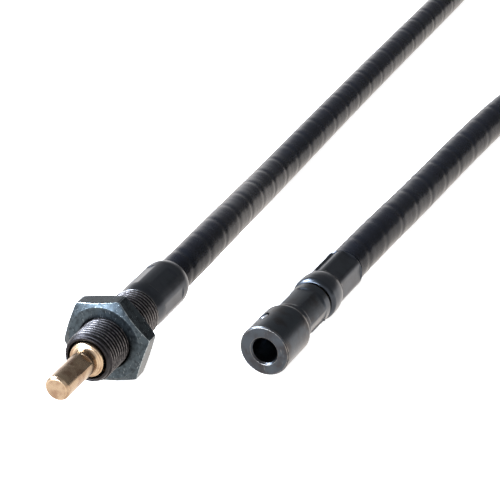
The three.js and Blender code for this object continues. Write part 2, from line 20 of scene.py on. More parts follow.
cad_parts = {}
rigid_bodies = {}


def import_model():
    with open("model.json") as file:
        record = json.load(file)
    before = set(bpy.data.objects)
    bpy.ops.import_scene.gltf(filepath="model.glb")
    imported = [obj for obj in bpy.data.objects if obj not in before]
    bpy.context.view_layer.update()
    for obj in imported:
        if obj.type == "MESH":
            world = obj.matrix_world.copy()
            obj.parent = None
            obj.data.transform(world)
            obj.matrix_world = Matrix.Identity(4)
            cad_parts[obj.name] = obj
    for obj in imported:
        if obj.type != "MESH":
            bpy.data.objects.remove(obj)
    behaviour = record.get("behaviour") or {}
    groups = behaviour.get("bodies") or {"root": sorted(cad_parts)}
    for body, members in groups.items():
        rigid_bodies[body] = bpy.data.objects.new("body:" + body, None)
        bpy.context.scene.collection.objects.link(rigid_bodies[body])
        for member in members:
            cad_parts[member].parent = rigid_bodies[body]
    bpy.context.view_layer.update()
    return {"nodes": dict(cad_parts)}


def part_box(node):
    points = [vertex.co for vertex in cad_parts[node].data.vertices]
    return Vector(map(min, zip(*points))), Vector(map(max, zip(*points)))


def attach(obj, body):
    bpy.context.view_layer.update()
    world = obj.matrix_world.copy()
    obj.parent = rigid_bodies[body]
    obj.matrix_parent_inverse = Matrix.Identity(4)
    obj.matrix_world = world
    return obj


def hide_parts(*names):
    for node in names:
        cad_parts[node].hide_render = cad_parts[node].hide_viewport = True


LOG = logging.getLogger("flexible_shaft")
MM = 0.001
TURN = 2.0 * math.pi

Row = tuple[float, float, float]  # radius and station in millimetres, and wear from 0 to 1
Relief = Callable[[float, float, float], float]  # degrees, station and radius to a new radius


class Body(Enum):
    """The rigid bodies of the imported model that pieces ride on."""

    HOUSING = "housing"
    SPINDLE = "spindle"
    NUT = "nut"
    COUPLER = "coupler"
    SET_SCREW = "set_screw"


# ---- Colour and shader nodes ---------------------------------------------------------------


def linear(hex_colour: str) -> tuple[float, float, float, float]:
    """Turns an sRGB hex colour to the linear colour that a shader takes.

    Args:
        hex_colour: Six hex digits after a hash sign.

    Returns:
        Linear red, green and blue, and an alpha of 1.
    """
    channels = [int(hex_colour[i : i + 2], 16) / 255.0 for i in (1, 3, 5)]
    red, green, blue = [
        c / 12.92 if c <= 0.04045 else ((c + 0.055) / 1.055) ** 2.4 for c in channels
    ]
    return red, green, blue, 1.0


def add_node(tree: bpy.types.NodeTree, kind: str, inputs: dict[Any, Any], **settings: Any) -> Any:
    """Adds a node, sets its properties, and sets or links its inputs.

    Only the sockets that the settings leave in use count, here and on a node that is linked.

    Args:
        tree: The node tree.
        kind: The node's type name.
        inputs: Input names or numbers, each with a value, an output socket, or a node whose
            first output is meant.
        **settings: Properties of the node itself.

    Returns:
        The node.
    """
    node = tree.nodes.new(kind)
    for name, value in settings.items():
        setattr(node, name, value)
    for key, value in inputs.items():
        in_use = [socket for socket in node.inputs if socket.enabled]
        number = key if isinstance(key, int) else [socket.name for socket in in_use].index(key)
        if isinstance(value, bpy.types.Node):
            value = next(socket for socket in value.outputs if socket.enabled)
        if isinstance(value, bpy.types.NodeSocket):
            tree.links.new(value, in_use[number])
        else:
            in_use[number].default_value = value
    return node


# ---- Where things lie ------------------------------------------------------------------------


@dataclass(frozen=True)
class Axis:
    """A fitting's axis: it starts at the tip and runs along Y, turned by the yaw."""

    tip: tuple[float, float, float]
    yaw_deg: float

    def matrix(self) -> Matrix:
        """Gives the matrix from the fitting's own frame to the part's, in metres."""
        turn = Matrix.Rotation(math.radians(self.yaw_deg), 4, "Z")
        return Matrix.Translation(Vector(self.tip) * MM) @ turn

    def point(self, along: float) -> Vector:
        """Gives the point at a station along the axis, in millimetres.

        Args:
            along: Distance from the tip, in millimetres.

        Returns:
            The point in the part's frame.
        """
        yaw = math.radians(self.yaw_deg)
        return Vector(self.tip) + along * Vector((-math.sin(yaw), math.cos(yaw), 0.0))


@dataclass(frozen=True)
class Corner:
    """A corner of a turned outline, in millimetres, with the radius of its rounding."""

    radius: float
    along: float
    fillet: float = 0.0


# How an outline is drawn, with its lengths in millimetres.
FILLET_STEPS = 7
MOST_OF_A_SIDE = 0.45  # the share of a side that a fillet may take
WORN_FILLET = 0.45  # the largest fillet that rubs fully bare
PLAIN_CORNER_WEAR = 0.35
SUPPORT = 0.07  # from a corner to the nearest row of a straight stretch
CUT_MARGIN = 0.03  # from a cut to the row on either side of it
ALONG_THE_AXIS = 0.8  # the least slope of a stretch that a cut can cross
ON_AXIS = 1e-6  # a smaller radius is a point on the axis


def rounded(corners: Sequence[Corner], closed: bool) -> list[Row]:
    """Rounds an outline's corners, which wear as edges do.

    Args:
        corners: Corners up the outside and back down the inside.
        closed: True if the outline joins its last corner to its first.

    Returns:
        The points of the rounded outline.
    """
    count = len(corners)
    drawn: list[Row] = []
    for i, corner in enumerate(corners):
        here = Vector((corner.radius, corner.along))
        if corner.fillet <= 0.0 or (not closed and i in (0, count - 1)):
            drawn.append((here.x, here.y, PLAIN_CORNER_WEAR))
            continue
        before, after = corners[(i - 1) % count], corners[(i + 1) % count]
        back = Vector((before.radius, before.along)) - here
        ahead = Vector((after.radius, after.along)) - here
        reach = min(corner.fillet, MOST_OF_A_SIDE * back.length, MOST_OF_A_SIDE * ahead.length)
        rubbed = min(1.0, (WORN_FILLET / corner.fillet) ** 2)
        start = here + back.normalized() * reach
        end = here + ahead.normalized() * reach
        for k in range(FILLET_STEPS + 1):
            t = k / FILLET_STEPS
            spot = start * (1 - t) ** 2 + here * 2 * t * (1 - t) + end * t**2
            drawn.append((spot.x, spot.y, rubbed * math.sin(math.pi * t)))
    return drawn


def rows_between(first: Row, second: Row, step: float, cuts: Sequence[float]) -> list[Row]:
    """Fills a straight stretch of an outline, which doesn't wear.

    Args:
        first: The point that the stretch starts from.
        second: The point that it ends at.
        step: Largest distance between rows, in millimetres.
        cuts: Stations where a cut starts or stops, which get a row on either side.

    Returns:
        The rows in order, without the two points.
    """
    a, b = Vector(first[:2]), Vector(second[:2])
    length = (b - a).length
    if length < 4 * SUPPORT:
        return []
    count = max(1, math.ceil(length / step))
    marks = {SUPPORT / length, 1 - SUPPORT / length, *(k / count for k in range(1, count))}
    margin = CUT_MARGIN / length
    crossed = cuts if abs(b.y - a.y) > ALONG_THE_AXIS * length else ()
    for cut in crossed:
        share = (cut - a.y) / (b.y - a.y)
        if 2 * margin < share < 1 - 2 * margin:
            marks = {mark for mark in marks if abs(mark - share) >= 3 * margin}
            marks.update((share - margin, share + margin))
    spots = [a.lerp(b, mark) for mark in sorted(marks)]
    return [(spot.x, spot.y, 0.0) for spot in spots]


def outline(
    corners: Sequence[Corner], step: float, closed: bool, cuts: Sequence[float] = ()
) -> list[Row]:
    """Draws a turned piece's outline with rounded corners and evenly spaced rows.

    Args:
        corners: Corners up the outside and back down the inside.
        step: Largest distance between rows, in millimetres.
        closed: True if the outline joins its last corner to its first.
        cuts: Stations where a cut starts or stops, which get a row on either side.

    Returns:
        The rows, in order.
    """
    drawn = rounded(corners, closed)
    rows: list[Row] = []
    for first, second in zip(drawn, drawn[1:]):
        rows += [first, *rows_between(first, second, step, cuts)]
    rows.append(drawn[-1])
    if closed:
        rows += rows_between(drawn[-1], drawn[0], step, cuts)
    return rows


def round_minimum(first: float, second: float, width: float) -> float:
    """Gives the smaller of two numbers, rounded over where they are close.

    Args:
        first: One number.
        second: The other.
        width: How close they are where the rounding starts.

    Returns:
        The rounded minimum.
    """
    overlap = max(width - abs(first - second), 0.0) / max(width, 1e-9)
    return min(first, second) - overlap * overlap * width / 4.0


def plateau(value: float, low: float, high: float, edge: float) -> float:
    """Rises from 0 to 1 past a low limit and falls again before a high one.

    Args:
        value: Where to look.
        low: Where it starts to rise.
        high: Where it is 0 again.
        edge: How long the rise and the fall are.

    Returns:
        A number from 0 to 1.
    """
    share = max(0.0, min(1.0, (value - low) / edge, (high - value) / edge))
    return share * share * (3.0 - 2.0 * share)


def angle_from(degrees: float, centre: float) -> float:
    """Gives the signed angle from a centre, from -180 to 180 degrees."""
    return (degrees - centre + 180.0) % 360.0 - 180.0


# ---- Meshes ------------------------------------------------------------------------------------


def new_object(name: str, vertices: Sequence[Any], faces: Sequence[Any]) -> bpy.types.Object:
    """Makes a mesh object in the scene.

    Args:
        name: The object's name.
        vertices: Points in metres.
        faces: Vertex numbers of each face.

    Returns:
        The object, at the origin.
    """
    mesh = bpy.data.meshes.new(name)
    mesh.from_pydata(vertices, [], faces)
    mesh.update()
    made = bpy.data.objects.new(name, mesh)
    bpy.context.scene.collection.objects.link(made)
    return made


def around(radius: float, along: float, degrees: float) -> tuple[float, float, float]:
    """Gives a point in metres, from a radius and a station in millimetres and an angle."""
    angle = math.radians(degrees)
    return radius * MM * math.cos(angle), along * MM, radius * MM * math.sin(angle)


def turned(
    name: str, rows: Sequence[Row], closed: bool, sides: int, relief: Relief | None = None
) -> bpy.types.Object:
    """Turns an outline about the Y axis, with a relief pressed or cut into its outside.

    Args:
        name: The object's name.
        rows: The outline's rows.
        closed: True if the last row joins the first.
        sides: Points round each ring.
        relief: Gives the radius at an angle in degrees, a station and a plain radius.

    Returns:
        The object, in the fitting's own frame, with its wear in an attribute.
    """
    vertices: list[tuple[float, float, float]] = []
    wear: list[float] = []
    rings: list[list[int]] = []
    for radius, along, worn in rows:
        start = len(vertices)
        if radius < ON_AXIS:
            rings.append([start] * sides)
            vertices.append((0.0, along * MM, 0.0))
        else:
            rings.append(list(range(start, start + sides)))
            for j in range(sides):
                degrees = 360.0 * j / sides
                shaped = relief(degrees, along, radius) if relief else radius
                vertices.append(around(shaped, along, degrees))
        wear += [worn] * (len(vertices) - start)
    faces = []
    last = len(rings) if closed else len(rings) - 1
    for i in range(last):
        low, high = rings[i], rings[(i + 1) % len(rings)]
        for j in range(sides):
            k = (j + 1) % sides
            face = list(dict.fromkeys((low[j], high[j], high[k], low[k])))
            if len(face) > 2:
                faces.append(face)
    made = new_object(name, vertices, faces)
    store_wear(made, wear)
    return made


def store_wear(piece: bpy.types.Object, wear: Sequence[float]) -> None:
    """Keeps how worn each point of a mesh is, for its material to read.

    Args:
        piece: The mesh object.
        wear: One number from 0 to 1 for each vertex.
    """
    attribute = piece.data.attributes.new("wear", "FLOAT", "POINT")
    attribute.data.foreach_set("value", list(wear))


def flattened(piece: bpy.types.Object) -> bpy.types.Object:
    """Applies a piece's modifiers and leaves a plain mesh.

    Args:
        piece: An object with modifiers.

    Returns:
        The same object, with its evaluated mesh and no modifiers.
    """
    graph = bpy.context.evaluated_depsgraph_get()
    mesh = bpy.data.meshes.new_from_object(piece.evaluated_get(graph), depsgraph=graph)
    piece.modifiers.clear()
    piece.data = mesh
    return piece


def drilled(piece: bpy.types.Object, drill: bpy.types.Object) -> bpy.types.Object:
    """Cuts a closed object out of a piece and removes it.

    Args:
        piece: The object to cut.
        drill: The object that is cut out.

    Returns:
        The same piece, cut.
    """
    cut = piece.modifiers.new("cut", "BOOLEAN")
    cut.operation = "DIFFERENCE"
    cut.solver = "EXACT"
    cut.object = drill
    flattened(piece)
    bpy.data.objects.remove(drill)
    return piece


def finished(
    piece: bpy.types.Object, axis: Axis, material: bpy.types.Material, sharp_deg: float
) -> bpy.types.Object:
    """Places a piece on its axis, smooths its shading and gives it its material.

    Args:
        piece: The object, in its fitting's own frame.
        axis: The fitting's axis.
        material: The piece's material.
        sharp_deg: Edges that turn by more than this stay sharp.

    Returns:
        The same piece.
    """
    piece.data.transform(axis.matrix())
    piece.data.shade_smooth()
    piece.data.set_sharp_from_angle(angle=math.radians(sharp_deg))
    piece.data.materials.clear()
    piece.data.materials.append(material)
    return piece


# ---- Finishes --------------------------------------------------------------------------------

# Where each random pattern, whose values run from 0 to 1, starts to show and is full.
PATCHES = {"From Min": 0.42, "From Max": 0.66}
RUBBED_EDGE = {"From Min": 0.22, "From Max": 0.55}
SCUFF_LINES = {"From Min": 0.62, "From Max": 0.72}
HANDLED_ZONES = {"From Min": 0.4, "From Max": 0.56}

# Scuffs are long noise: it is turned to a direction of its own and stretched along it.
SCUFF_TURN = (0.3, 0.5, 0.9)
SCUFF_STRETCH = (1.0, 1.0, 0.12)
SCUFFS_IN_A_ZONE = 14.0


def per_metre(size_mm: float) -> float:
    """Gives the scale of a texture whose features have a real size in millimetres."""
    return 1.0 / (size_mm * MM)


def new_material(name: str) -> bpy.types.Material:
    """Makes a material with an empty node tree."""
    material = bpy.data.materials.new(name)
    material.use_nodes = True
    material.node_tree.nodes.clear()
    return material


class Marks(Enum):
    """What a metal's shaping left on it: a lathe's marks round the axis, or none."""

    TURNED = "turned"
    NONE = "none"


@dataclass(frozen=True)
class WornMetal:
    """A machined metal with a thin worn skin: tool marks, mottling, scuffs and bare edges.

    The base colour shows where the skin is whole, the mottle colour in patches and the bare
    colour on edges that have rubbed. The pattern sizes are in millimetres. A lathe's real marks
    are about 0.1 mm apart and the real grit is finer still, which the render can't show, so both
    are drawn coarser, from half a pixel's width up.
    """

    name: str
    base: str
    mottle: str
    bare: str
    roughness: float
    bare_roughness: float
    metallic: float = 1.0
    smoother: float = 0.05
    rougher: float = 0.07
    mottle_mm: float = 3.0
    mark_mm: float = 0.3
    mark_depth_mm: float = 0.004
    marks: Marks = Marks.TURNED
    grit_mm: float = 0.12
    grit_depth_mm: float = 0.003
    ragged_mm: float = 0.7
    scratch_mm: float = 6.0
    scratch_amount: float = 0.0
    edge_amount: float = 0.6

    def build(self, axis: Axis) -> bpy.types.Material:
        """Makes the material for pieces on an axis.

        Args:
            axis: The fitting's axis, which turning marks go round.

        Returns:
            The material.
        """
        material = new_material(self.name)
        tree = material.node_tree
        local = add_node(
            tree,
            "ShaderNodeMapping",
            {
                "Vector": add_node(tree, "ShaderNodeTexCoord", {}).outputs["Object"],
                "Location": tuple(c * MM for c in axis.tip),
                "Rotation": (0.0, 0.0, math.radians(axis.yaw_deg)),
            },
            vector_type="TEXTURE",
        )
        grit = add_node(
            tree,
            "ShaderNodeTexNoise",
            {"Vector": local, "Scale": per_metre(self.grit_mm), "Detail": 2.0},
        )
        rubbed = add_node(
            tree,
            "ShaderNodeMath",
            {0: self._edges(tree, local), 1: self._scuffs(tree, local)},
            operation="MAXIMUM",
        )
        rough = add_node(
            tree,
            "ShaderNodeMapRange",
            {
                "Value": grit,
                "To Min": self.roughness - self.smoother,
                "To Max": self.roughness + self.rougher,
            },
        )
        rough = add_node(
            tree,
            "ShaderNodeMix",
            {"Factor": rubbed, "A": rough, "B": self.bare_roughness},
            data_type="FLOAT",
        )
        height = add_node(
            tree, "ShaderNodeMath", {0: grit, 1: self.grit_depth_mm * MM}, operation="MULTIPLY"
        )
        if self.marks is Marks.TURNED:
            height = self._tool_marks(tree, local, height)
        shader = add_node(
            tree,
            "ShaderNodeBsdfPrincipled",
            {
                "Base Color": self._colour(tree, local, rubbed),
                "Roughness": rough,
                "Metallic": self.metallic,
                "Normal": add_node(
                    tree, "ShaderNodeBump", {"Height": height, "Distance": 1.0, "Strength": 1.0}
                ),
            },
        )
        add_node(tree, "ShaderNodeOutputMaterial", {"Surface": shader})
        return material

    def _colour(self, tree: bpy.types.NodeTree, local: Any, rubbed: Any) -> Any:
        """Adds the skin's colour, mottled in patches and gone where it is rubbed.

        Args:
            tree: The material's tree.
            local: The coordinates.
            rubbed: How bare the metal is.

        Returns:
            The node that gives the colour.
        """
        clouds = add_node(
            tree,
            "ShaderNodeTexNoise",
            {"Vector": local, "Scale": per_metre(self.mottle_mm), "Detail": 6.0},
        )
        patches = add_node(
            tree,
            "ShaderNodeMapRange",
            {"Value": clouds, **PATCHES},
            interpolation_type="SMOOTHSTEP",
        )
        skin = add_node(
            tree,
            "ShaderNodeMix",
            {"Factor": patches, "A": linear(self.base), "B": linear(self.mottle)},
            data_type="RGBA",
        )
        return add_node(
            tree,
            "ShaderNodeMix",
            {"Factor": rubbed, "A": skin, "B": linear(self.bare)},
            data_type="RGBA",
        )

    def _edges(self, tree: bpy.types.NodeTree, local: Any) -> Any:
        """Adds how bare the edges are, broken up so that they don't look drawn.

        Args:
            tree: The material's tree.
            local: The coordinates.

        Returns:
            A node that gives 0 to 1.
        """
        wear = add_node(tree, "ShaderNodeAttribute", {}, attribute_name="wear").outputs["Fac"]
        ragged = add_node(
            tree,
            "ShaderNodeTexNoise",
            {"Vector": local, "Scale": per_metre(self.ragged_mm), "Detail": 5.0},
        )
        broken = add_node(tree, "ShaderNodeMath", {0: wear, 1: ragged}, operation="MULTIPLY")
        return add_node(
            tree,
            "ShaderNodeMapRange",
            {"Value": broken, **RUBBED_EDGE, "To Max": self.edge_amount},
            interpolation_type="SMOOTHSTEP",
        )

    def _scuffs(self, tree: bpy.types.NodeTree, local: Any) -> Any:
        """Adds short scuffs that go one way, as handling leaves them.

        Args:
            tree: The material's tree.
            local: The coordinates.

        Returns:
            A node that gives 0 to 1.
        """
        stretched = add_node(
            tree,
            "ShaderNodeMapping",
            {"Vector": local, "Rotation": SCUFF_TURN, "Scale": SCUFF_STRETCH},
        )
        fine = add_node(
            tree,
            "ShaderNodeTexNoise",
            {
                "Vector": stretched,
                "Scale": per_metre(self.scratch_mm / SCUFFS_IN_A_ZONE),
                "Detail": 3.0,
            },
        )
        where = add_node(
            tree,
            "ShaderNodeTexNoise",
            {"Vector": local, "Scale": per_metre(self.scratch_mm), "Detail": 2.0},
        )
        lines = add_node(
            tree,
            "ShaderNodeMapRange",
            {"Value": fine, **SCUFF_LINES, "To Max": self.scratch_amount},
            interpolation_type="SMOOTHSTEP",
        )
        zones = add_node(
            tree,
            "ShaderNodeMapRange",
            {"Value": where, **HANDLED_ZONES},
            interpolation_type="SMOOTHSTEP",
        )
        return add_node(tree, "ShaderNodeMath", {0: lines, 1: zones}, operation="MULTIPLY")

    def _tool_marks(self, tree: bpy.types.NodeTree, local: Any, height: Any) -> Any:
        """Adds the fine grooves that a lathe tool leaves, round the axis.

        On a face they are rings, and on a barrel bands, so both distances drive the wave.

        Args:
            tree: The material's tree.
            local: The coordinates.
            height: The height so far, in metres.

        Returns:
            The node that gives the height with the grooves added.
        """
        parts = add_node(tree, "ShaderNodeSeparateXYZ", {"Vector": local}).outputs
        flat = add_node(tree, "ShaderNodeCombineXYZ", {"X": parts["X"], "Z": parts["Z"]})
        radius = add_node(tree, "ShaderNodeVectorMath", {0: flat}, operation="LENGTH")
        travel = add_node(tree, "ShaderNodeMath", {0: radius, 1: parts["Y"]}, operation="ADD")
        phase = add_node(
            tree,
            "ShaderNodeMath",
            {0: travel, 1: TURN * per_metre(self.mark_mm)},
            operation="MULTIPLY",
        )
        wave = add_node(tree, "ShaderNodeMath", {0: phase}, operation="SINE")
        return add_node(
            tree,
            "ShaderNodeMath",
            {0: wave, 1: self.mark_depth_mm * MM, 2: height},
            operation="MULTIPLY_ADD",
        )


# Free-cutting brass bar, turned and a little tarnished: warm gold with a clear mirror image.
BRASS = WornMetal(
    name="brass_bar_turned",
    base="#ab9780",
    mottle="#8f7763",
    bare="#c8b293",
    roughness=0.26,
    bare_roughness=0.22,
    mottle_mm=2.4,
    mark_mm=0.4,
    mark_depth_mm=0.0008,
    grit_mm=0.3,
    grit_depth_mm=0.0004,
)
# Steel bar turned and given black oxide: a dark grey metal with a soft blue-grey image.
BLACKENED_BAR = WornMetal(
    name="black_oxide_steel_turned",
    base="#434950",
    mottle="#38383b",
    bare="#8b8884",
    roughness=0.3,
    bare_roughness=0.26,
    mottle_mm=4.0,
    mark_mm=0.3,
    mark_depth_mm=0.0035,
    scratch_mm=3.6,
    scratch_amount=0.3,
    edge_amount=0.8,
)
# The threaded bushing: the same steel with its crests rubbed to a pewter grey. Its skin and its
# rubbed crests are painted darker than the bar's, as painted shade for the table that the threads
# mirror, which lies in the nut's shadow.
SHADED_THREADED_BAR = WornMetal(
    name="black_oxide_steel_threaded_painted_shade",
    base="#333234",
    mottle="#29282a",
    bare="#7d7b7c",
    roughness=0.36,
    bare_roughness=0.32,
    mottle_mm=2.0,
    marks=Marks.NONE,
    edge_amount=0.75,
)
# The pressed nut: blue-black zinc over steel, scuffed by a spanner and pale on its edges.
BLUED_ZINC = WornMetal(
    name="blued_zinc_steel_pressed",
    base="#414a50",
    mottle="#30373c",
    bare="#a9b3b8",
    roughness=0.34,
    bare_roughness=0.3,
    mottle_mm=1.1,
    marks=Marks.NONE,
    grit_mm=0.35,
    grit_depth_mm=0.01,
    scratch_mm=2.4,
    scratch_amount=1.0,
    edge_amount=0.9,
)
# The crimped ferrules: drawn steel tube with black oxide, glossier and nearly plain.
BLACKENED_TUBE = WornMetal(
    name="black_oxide_steel_tube",
    base="#444950",
    mottle="#3b3f45",
    bare="#8a8784",
    roughness=0.3,
    bare_roughness=0.27,
    mottle_mm=5.0,
    marks=Marks.NONE,
    grit_depth_mm=0.002,
    edge_amount=0.5,
)
# Sintered bronze, dark with oil: the bearings and washers.
OILED_BRONZE = WornMetal(
    name="sintered_bronze_oiled",
    base="#6b5237",
    mottle="#4a3a2a",
    bare="#a5824f",
    roughness=0.5,
    bare_roughness=0.4,
    mottle_mm=0.8,
    marks=Marks.NONE,
    grit_depth_mm=0.008,
)
# Plain bright steel: the retaining ring, the core's socket and the set screw.
BRIGHT_STEEL = WornMetal(
    name="bright_steel_plain",
    base="#b4b7bb",
    mottle="#9b9ea3",
    bare="#d0d2d4",
    roughness=0.3,
    bare_roughness=0.25,
    mottle_mm=1.5,
    mark_mm=0.2,
    mark_depth_mm=0.002,
)
# Wound steel wire under oil: the core and the liner that it turns in.
WOUND_WIRE = WornMetal(
    name="wound_steel_wire",
    base="#83868a",
    mottle="#5c5f63",
    bare="#b0b2b5",
    roughness=0.42,
    bare_roughness=0.35,
    mottle_mm=1.2,
    mark_mm=0.9,
    mark_depth_mm=0.12,
)


@dataclass(frozen=True)
class SheathPlastic:
    """Black PVC drawn over a wound steel strip: half matt, with a skin of fine dust.

    The plastic is a dielectric with a cool image, so it goes pale blue where it is seen at a low
    angle. Its real grain is too fine for the render and is drawn a pixel wide.
    """

    name: str = "black_pvc_sheath"
    base: str = "#0c0d12"
    dust: str = "#15181f"
    image: str = "#d9e8f8"
    roughness: float = 0.27
    roughness_spread: float = 0.08
    specular: float = 0.14
    patch_mm: float = 7.0
    grain_mm: float = 0.25
    grain_depth_mm: float = 0.006

    def build(self) -> bpy.types.Material:
        """Makes the material.

        Returns:
            The material.
        """
        material = new_material(self.name)
        tree = material.node_tree
        place = add_node(tree, "ShaderNodeTexCoord", {}).outputs["Object"]
        patches = add_node(
            tree,
            "ShaderNodeTexNoise",
            {"Vector": place, "Scale": per_metre(self.patch_mm), "Detail": 4.0},
        )
        grain = add_node(
            tree,
            "ShaderNodeTexNoise",
            {"Vector": place, "Scale": per_metre(self.grain_mm), "Detail": 2.0},
        )
        colour = add_node(
            tree,
            "ShaderNodeMix",
            {"Factor": patches, "A": linear(self.base), "B": linear(self.dust)},
            data_type="RGBA",
        )
        rough = add_node(
            tree,
            "ShaderNodeMapRange",
            {
                "Value": patches,
                "To Min": self.roughness - self.roughness_spread,
                "To Max": self.roughness + self.roughness_spread,
            },
        )
        height = add_node(
            tree, "ShaderNodeMath", {0: grain, 1: self.grain_depth_mm * MM}, operation="MULTIPLY"
        )
        shader = add_node(
            tree,
            "ShaderNodeBsdfPrincipled",
            {
                "Base Color": colour,
                "Roughness": rough,
                "Specular IOR Level": self.specular,
                "Specular Tint": linear(self.image),
                "Normal": add_node(
                    tree, "ShaderNodeBump", {"Height": height, "Distance": 1.0, "Strength": 1.0}
                ),
            },
        )
        add_node(tree, "ShaderNodeOutputMaterial", {"Surface": shader})
        return material


# ---- Geometry node trees -----------------------------------------------------------------------

# The strip under the casing's skin: bands in each turn of its helix, and how much they show.
STRIP_WAVES = ((2, -0.42), (3, -0.36), (4, -0.1), (5, -0.12))
CREST_WEAR = 0.4  # how far down a thread's flanks it is rubbed, as a share of its depth
WELD = 1e-6  # metres


class GeometryTree:
    """A geometry node tree with named inputs, and how a modifier is given them."""

    def __init__(self, name: str, inputs: dict[str, str]) -> None:
        """Starts a tree with a geometry in and out and the named inputs.

        Args:
            name: The tree's name.
            inputs: Input names, each with its socket type.
        """
        self.tree = bpy.data.node_groups.new(name, "GeometryNodeTree")
        face = self.tree.interface
        face.new_socket("Geometry", in_out="INPUT", socket_type="NodeSocketGeometry")
        face.new_socket("Geometry", in_out="OUTPUT", socket_type="NodeSocketGeometry")
        self.ids = {
            key: face.new_socket(key, in_out="INPUT", socket_type=kind).identifier
            for key, kind in inputs.items()
        }
        self.given = self.tree.nodes.new("NodeGroupInput").outputs

    def add(self, kind: str, inputs: dict[Any, Any], **settings: Any) -> Any:
        """Adds a node to the tree, as add_node does.

        Args:
            kind: The node's type name.
            inputs: Input names or numbers, as add_node takes them.
            **settings: Properties of the node itself.

        Returns:
            The node.
        """
        return add_node(self.tree, kind, inputs, **settings)

    def close(self, geometry: Any) -> None:
        """Ends the tree with its realized geometry in the given material.

        Args:
            geometry: The last node that gives geometry.
        """
        real = self.add("GeometryNodeRealizeInstances", {"Geometry": geometry})
        dressed = self.add(
            "GeometryNodeSetMaterial", {"Geometry": real, "Material": self.given["Material"]}
        )
        self.add("NodeGroupOutput", {"Geometry": dressed})

    def apply(self, piece: bpy.types.Object, values: dict[str, Any]) -> bpy.types.Object:
        """Runs the tree on a piece and leaves a plain mesh.

        Args:
            piece: The object.
            values: A value for each named input.

        Returns:
            The same piece.
        """
        modifier = piece.modifiers.new(self.tree.name, "NODES")
        modifier.node_group = self.tree
        for key, value in values.items():
            modifier[self.ids[key]] = value
        piece.update_tag()
        bpy.context.view_layer.update()
        return flattened(piece)


def thread_cutter() -> GeometryTree:
    """Builds the tree that cuts a right-hand thread into a turned blank along Y.

    The crest flat, which is also the root's, is a share of the pitch.

    Returns:
        The tree.
    """
    cutter = GeometryTree(
        "cut_thread",
        {
            "Crest Radius": "NodeSocketFloat",
            "Depth": "NodeSocketFloat",
            "Pitch": "NodeSocketFloat",
            "Crest Flat": "NodeSocketFloat",
            "Material": "NodeSocketMaterial",
        },
    )
    given, add = cutter.given, cutter.add
    crest, depth = given["Crest Radius"], given["Depth"]
    place = add("ShaderNodeSeparateXYZ", {0: add("GeometryNodeInputPosition", {})}).outputs
    flat = add("ShaderNodeCombineXYZ", {"X": place["X"], "Z": place["Z"]})
    radius = add("ShaderNodeVectorMath", {0: flat}, operation="LENGTH")
    outwards = add("ShaderNodeVectorMath", {0: flat}, operation="NORMALIZE")
    angle = add("ShaderNodeMath", {0: place["Z"], 1: place["X"]}, operation="ARCTAN2")
    turn = add("ShaderNodeMath", {0: angle, 1: TURN}, operation="DIVIDE")
    pitches = add("ShaderNodeMath", {0: place["Y"], 1: given["Pitch"]}, operation="DIVIDE")
    wound = add("ShaderNodeMath", {0: pitches, 1: turn}, operation="ADD")
    from_root = add("ShaderNodeMath", {0: wound, 1: 0.5}, operation="PINGPONG")
    root_edge = add("ShaderNodeMath", {0: given["Crest Flat"], 1: 0.5}, operation="MULTIPLY")
    crest_edge = add("ShaderNodeMath", {0: 0.5, 1: root_edge}, operation="SUBTRACT")
    root = add("ShaderNodeMath", {0: crest, 1: depth}, operation="SUBTRACT")
    cut = add(
        "ShaderNodeMapRange",
        {
            "Value": from_root,
            "From Min": root_edge,
            "From Max": crest_edge,
            "To Min": root,
            "To Max": crest,
        },
    )
    kept = add("ShaderNodeMath", {0: radius, 1: cut}, operation="MINIMUM")
    change = add("ShaderNodeMath", {0: kept, 1: radius}, operation="SUBTRACT")
    shift = add("ShaderNodeVectorMath", {0: outwards, "Scale": change}, operation="SCALE")
    clean = add("ShaderNodeMath", {0: depth, 1: -CREST_WEAR, 2: crest}, operation="MULTIPLY_ADD")
    rubbed = add("ShaderNodeMapRange", {"Value": kept, "From Min": clean, "From Max": crest})
    # The wear is stored before the points move, because it is worked out from where they were.
    stored = add(
        "GeometryNodeStoreNamedAttribute",
        {"Geometry": given["Geometry"], "Name": "wear", "Value": rubbed},
        data_type="FLOAT",
        domain="POINT",
    )
    cutter.close(add("GeometryNodeSetPosition", {"Geometry": stored, "Offset": shift}))
    return cutter


